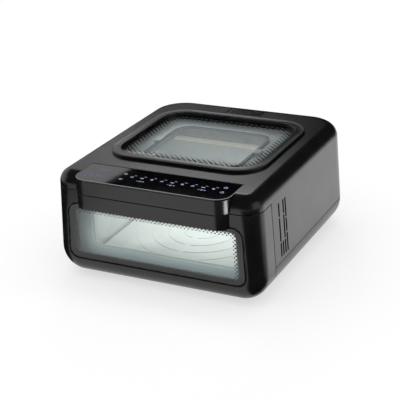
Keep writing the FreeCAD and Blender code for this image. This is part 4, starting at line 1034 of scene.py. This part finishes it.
@dataclass
class Studio:
    """White tent with black flags, the lamps and the camera, in metres."""

    camera_at: Vector = field(default_factory=lambda: Vector((749.34, -1492.37, 789.78)) * MM)
    azimuth: float = math.radians(27.06)
    elevation: float = math.radians(23.068)
    roll: float = math.radians(-2.673)
    lens_mm: float = 100.84
    sensor_mm: float = 36.0
    near: float = 0.05
    floor_half: float = 40.0
    floor_tone: float = 0.5
    floor_rough: float = 0.9
    floor_glow: float = 0.62
    dome_low: float = 0.25
    dome_high: float = 1.3
    felt_tone: float = 0.004
    # The flags: how high those on the floor lie, where the others stand, and how far up and out these reach
    flag_level: float = 0.002
    flag_back: float = 1.6
    flag_front: float = -2.2
    flag_top: float = 3.0
    flag_side: float = 4.0
    # On the floor, across and back: at the right corner, along the left wall and a strip before it
    right_card: tuple[Point, ...] = ((0.155, -0.17), (0.06, -0.9), (1.4, -0.9), (1.4, 0.6), (0.58, -0.06),
                                     (0.40, -0.06), (0.40, 0.053))
    left_card: tuple[Point, ...] = ((-0.17, -0.18), (-0.19, 1.5), (-1.4, 1.5), (-1.4, -0.86),
                                    (-0.78, -0.86))
    strip_card: tuple[Point, ...] = ((-0.256, -0.430), (-0.307, -0.528), (-0.9, -0.528), (-0.9, -0.430))
    # Behind, across and up, with a gap for the low light
    rear_card: tuple[Point, ...] = ((-3.0, 0.0), (4.0, 0.0), (4.0, 4.0), (-3.0, 4.0), (-3.0, 2.155),
                                    (-1.122, 0.978), (-1.02, 0.914), (-0.99, 0.893), (-1.12, 0.893),
                                    (-1.12, 0.45), (-3.0, 0.45))

    def camera(self) -> None:
        """Place the camera at the photograph's angle."""
        data = bpy.data.cameras.new("photo_camera")
        data.lens = self.lens_mm
        data.sensor_width = self.sensor_mm
        data.clip_start = self.near
        camera = bpy.data.objects.new("photo_camera", data)
        pan = Matrix.Rotation(self.azimuth, 4, "Z")
        tilt = Matrix.Rotation(math.pi / 2 - self.elevation, 4, "X")
        roll = Matrix.Rotation(self.roll, 4, "Z")
        camera.matrix_world = Matrix.Translation(self.camera_at) @ (pan @ tilt @ roll)
        bpy.context.scene.collection.objects.link(camera)
        bpy.context.scene.camera = camera

    def sheet(self, name: str, corners: list[Place], material: bpy.types.Material) -> bpy.types.Object:
        """Add a flat sheet of the studio.

        Args:
            name: The sheet's name.
            corners: Its corners in order.
            material: Its material.

        Returns:
            The sheet.
        """
        mesh = bmesh.new()
        mesh.faces.new([mesh.verts.new(corner) for corner in corners])
        data = bpy.data.meshes.new(name)
        mesh.to_mesh(data)
        mesh.free()
        data.materials.append(material)
        sheet = bpy.data.objects.new(name, data)
        bpy.context.scene.collection.objects.link(sheet)
        return sheet

    def seen_white(self, tree: bpy.types.NodeTree) -> bpy.types.NodeSocket:
        """Add nodes that are 1 for a ray that looks at the background, straight, mirrored or through glass.

        Args:
            tree: The node tree of the floor or the world.

        Returns:
            The socket of that number.
        """
        path = add_node(tree, "ShaderNodeLightPath").outputs
        straight = add_node(tree, "ShaderNodeMath", {0: path["Is Camera Ray"], 1: path["Is Glossy Ray"]},
                            operation="MAXIMUM")
        return add_node(tree, "ShaderNodeMath", {0: straight.outputs[0], 1: path["Is Transmission Ray"]},
                        operation="MAXIMUM").outputs[0]

    def floor(self) -> None:
        """Lay a pale floor that stays white to the eye and keeps the shadow."""
        material, tree = start_material("white_studio_floor")
        lit = add_node(tree, "ShaderNodeMath", {0: self.seen_white(tree), 1: self.floor_glow},
                       operation="MULTIPLY")
        shader = add_node(tree, "ShaderNodeBsdfPrincipled", {
            "Base Color": (self.floor_tone, self.floor_tone, self.floor_tone, 1.0),
            "Roughness": self.floor_rough, "Specular IOR Level": 0.0,
            "Emission Color": (1.0, 1.0, 1.0, 1.0), "Emission Strength": lit.outputs[0]})
        add_node(tree, "ShaderNodeOutputMaterial", {"Surface": shader.outputs["BSDF"]})
        material.cycles.emission_sampling = "NONE"
        far = self.floor_half
        corners = [(-far, -far, 0), (far, -far, 0), (far, far, 0), (-far, far, 0)]
        self.sheet("studio_floor", corners, material)

    def flags(self) -> None:
        """Set the black cards that only the gloss shows: on the floor, behind, in front and overhead."""
        material, tree = start_material("black_flag_felt")
        shader = add_node(tree, "ShaderNodeBsdfPrincipled", {
            "Base Color": (self.felt_tone, self.felt_tone, self.felt_tone, 1.0), "Roughness": 1.0,
            "Specular IOR Level": 0.0})
        add_node(tree, "ShaderNodeOutputMaterial", {"Surface": shader.outputs["BSDF"]})
        low, back, front = self.flag_level, self.flag_back, self.flag_front
        top, side = self.flag_top, self.flag_side
        cards = {"flag_right": [(x, y, low) for x, y in self.right_card],
                 "flag_left": [(x, y, low) for x, y in self.left_card],
                 "flag_strip": [(x, y, low) for x, y in self.strip_card],
                 "flag_rear": [(x, back, z) for x, z in self.rear_card],
                 "flag_front": [(-side, front, 0.0), (side, front, 0.0), (side, front, top),
                                (-side, front, top)],
                 "flag_top": [(-side, front, top), (side, front, top), (side, back, top),
                              (-side, back, top)]}
        for name, corners in cards.items():
            flag = self.sheet(name, corners, material)
            flag.visible_camera = False
            flag.visible_diffuse = False
            flag.visible_transmission = False
            flag.visible_shadow = False

    def world(self) -> None:
        """Make the tent: white to the eye, and a dome that is brighter overhead as light."""
        world = bpy.data.worlds.new("white_tent")
        bpy.context.scene.world = world
        world.use_nodes = True
        world.cycles.sampling_method = "NONE"
        tree = world.node_tree
        tree.nodes.clear()
        way = add_node(tree, "ShaderNodeTexCoord").outputs["Generated"]
        height = add_node(tree, "ShaderNodeSeparateXYZ", {0: way}).outputs["Z"]
        dome = add_node(tree, "ShaderNodeMapRange", {
            "Value": height, "To Min": self.dome_low, "To Max": self.dome_high})
        level = add_node(tree, "ShaderNodeMix", {
            "Factor": self.seen_white(tree), "A": dome.outputs["Result"], "B": 1.0})
        back = add_node(tree, "ShaderNodeBackground", {"Strength": level.outputs["Result"]})
        add_node(tree, "ShaderNodeOutputWorld", {"Surface": back.outputs[0]})

    def lamps(self) -> None:
        """Set the lamps: two for the casing, one for the brow alone, and three inside that don't mirror."""
        LID_STRIP.build()
        RIGHT_BOUNCE.build()
        brow = bpy.data.collections.new("lit_by_brow_kicker")
        brow.objects.link(bpy.data.objects["control_panel_housing_moulding"])
        BROW_KICKER.build().light_linking.receiver_collection = brow
        for inside in (OVEN_LIGHT, LID_FILL, DRAWER_FILL):
            lamp = inside.build()
            lamp.visible_glossy = False
            lamp.visible_transmission = False

    def build(self) -> None:
        """Set up the whole studio."""
        self.camera()
        self.floor()
        self.flags()
        self.world()
        self.lamps()
        bpy.context.scene.view_settings.view_transform = "Standard"


def main() -> None:
    """Load the frame, dress every node and set up the studio."""
    logging.basicConfig(level=logging.INFO, format="%(message)s")
    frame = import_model()
    shared: dict[str, bpy.types.Material] = {}
    kinds: tuple[type[Assembly], ...] = (Casing, LidWindow, DrawerFront, Pan, Oven, Electrics, ControlBrow)
    for kind in kinds:
        kind(frame["nodes"], shared).build()
    Studio().build()


if __name__ == "__main__":
    main()
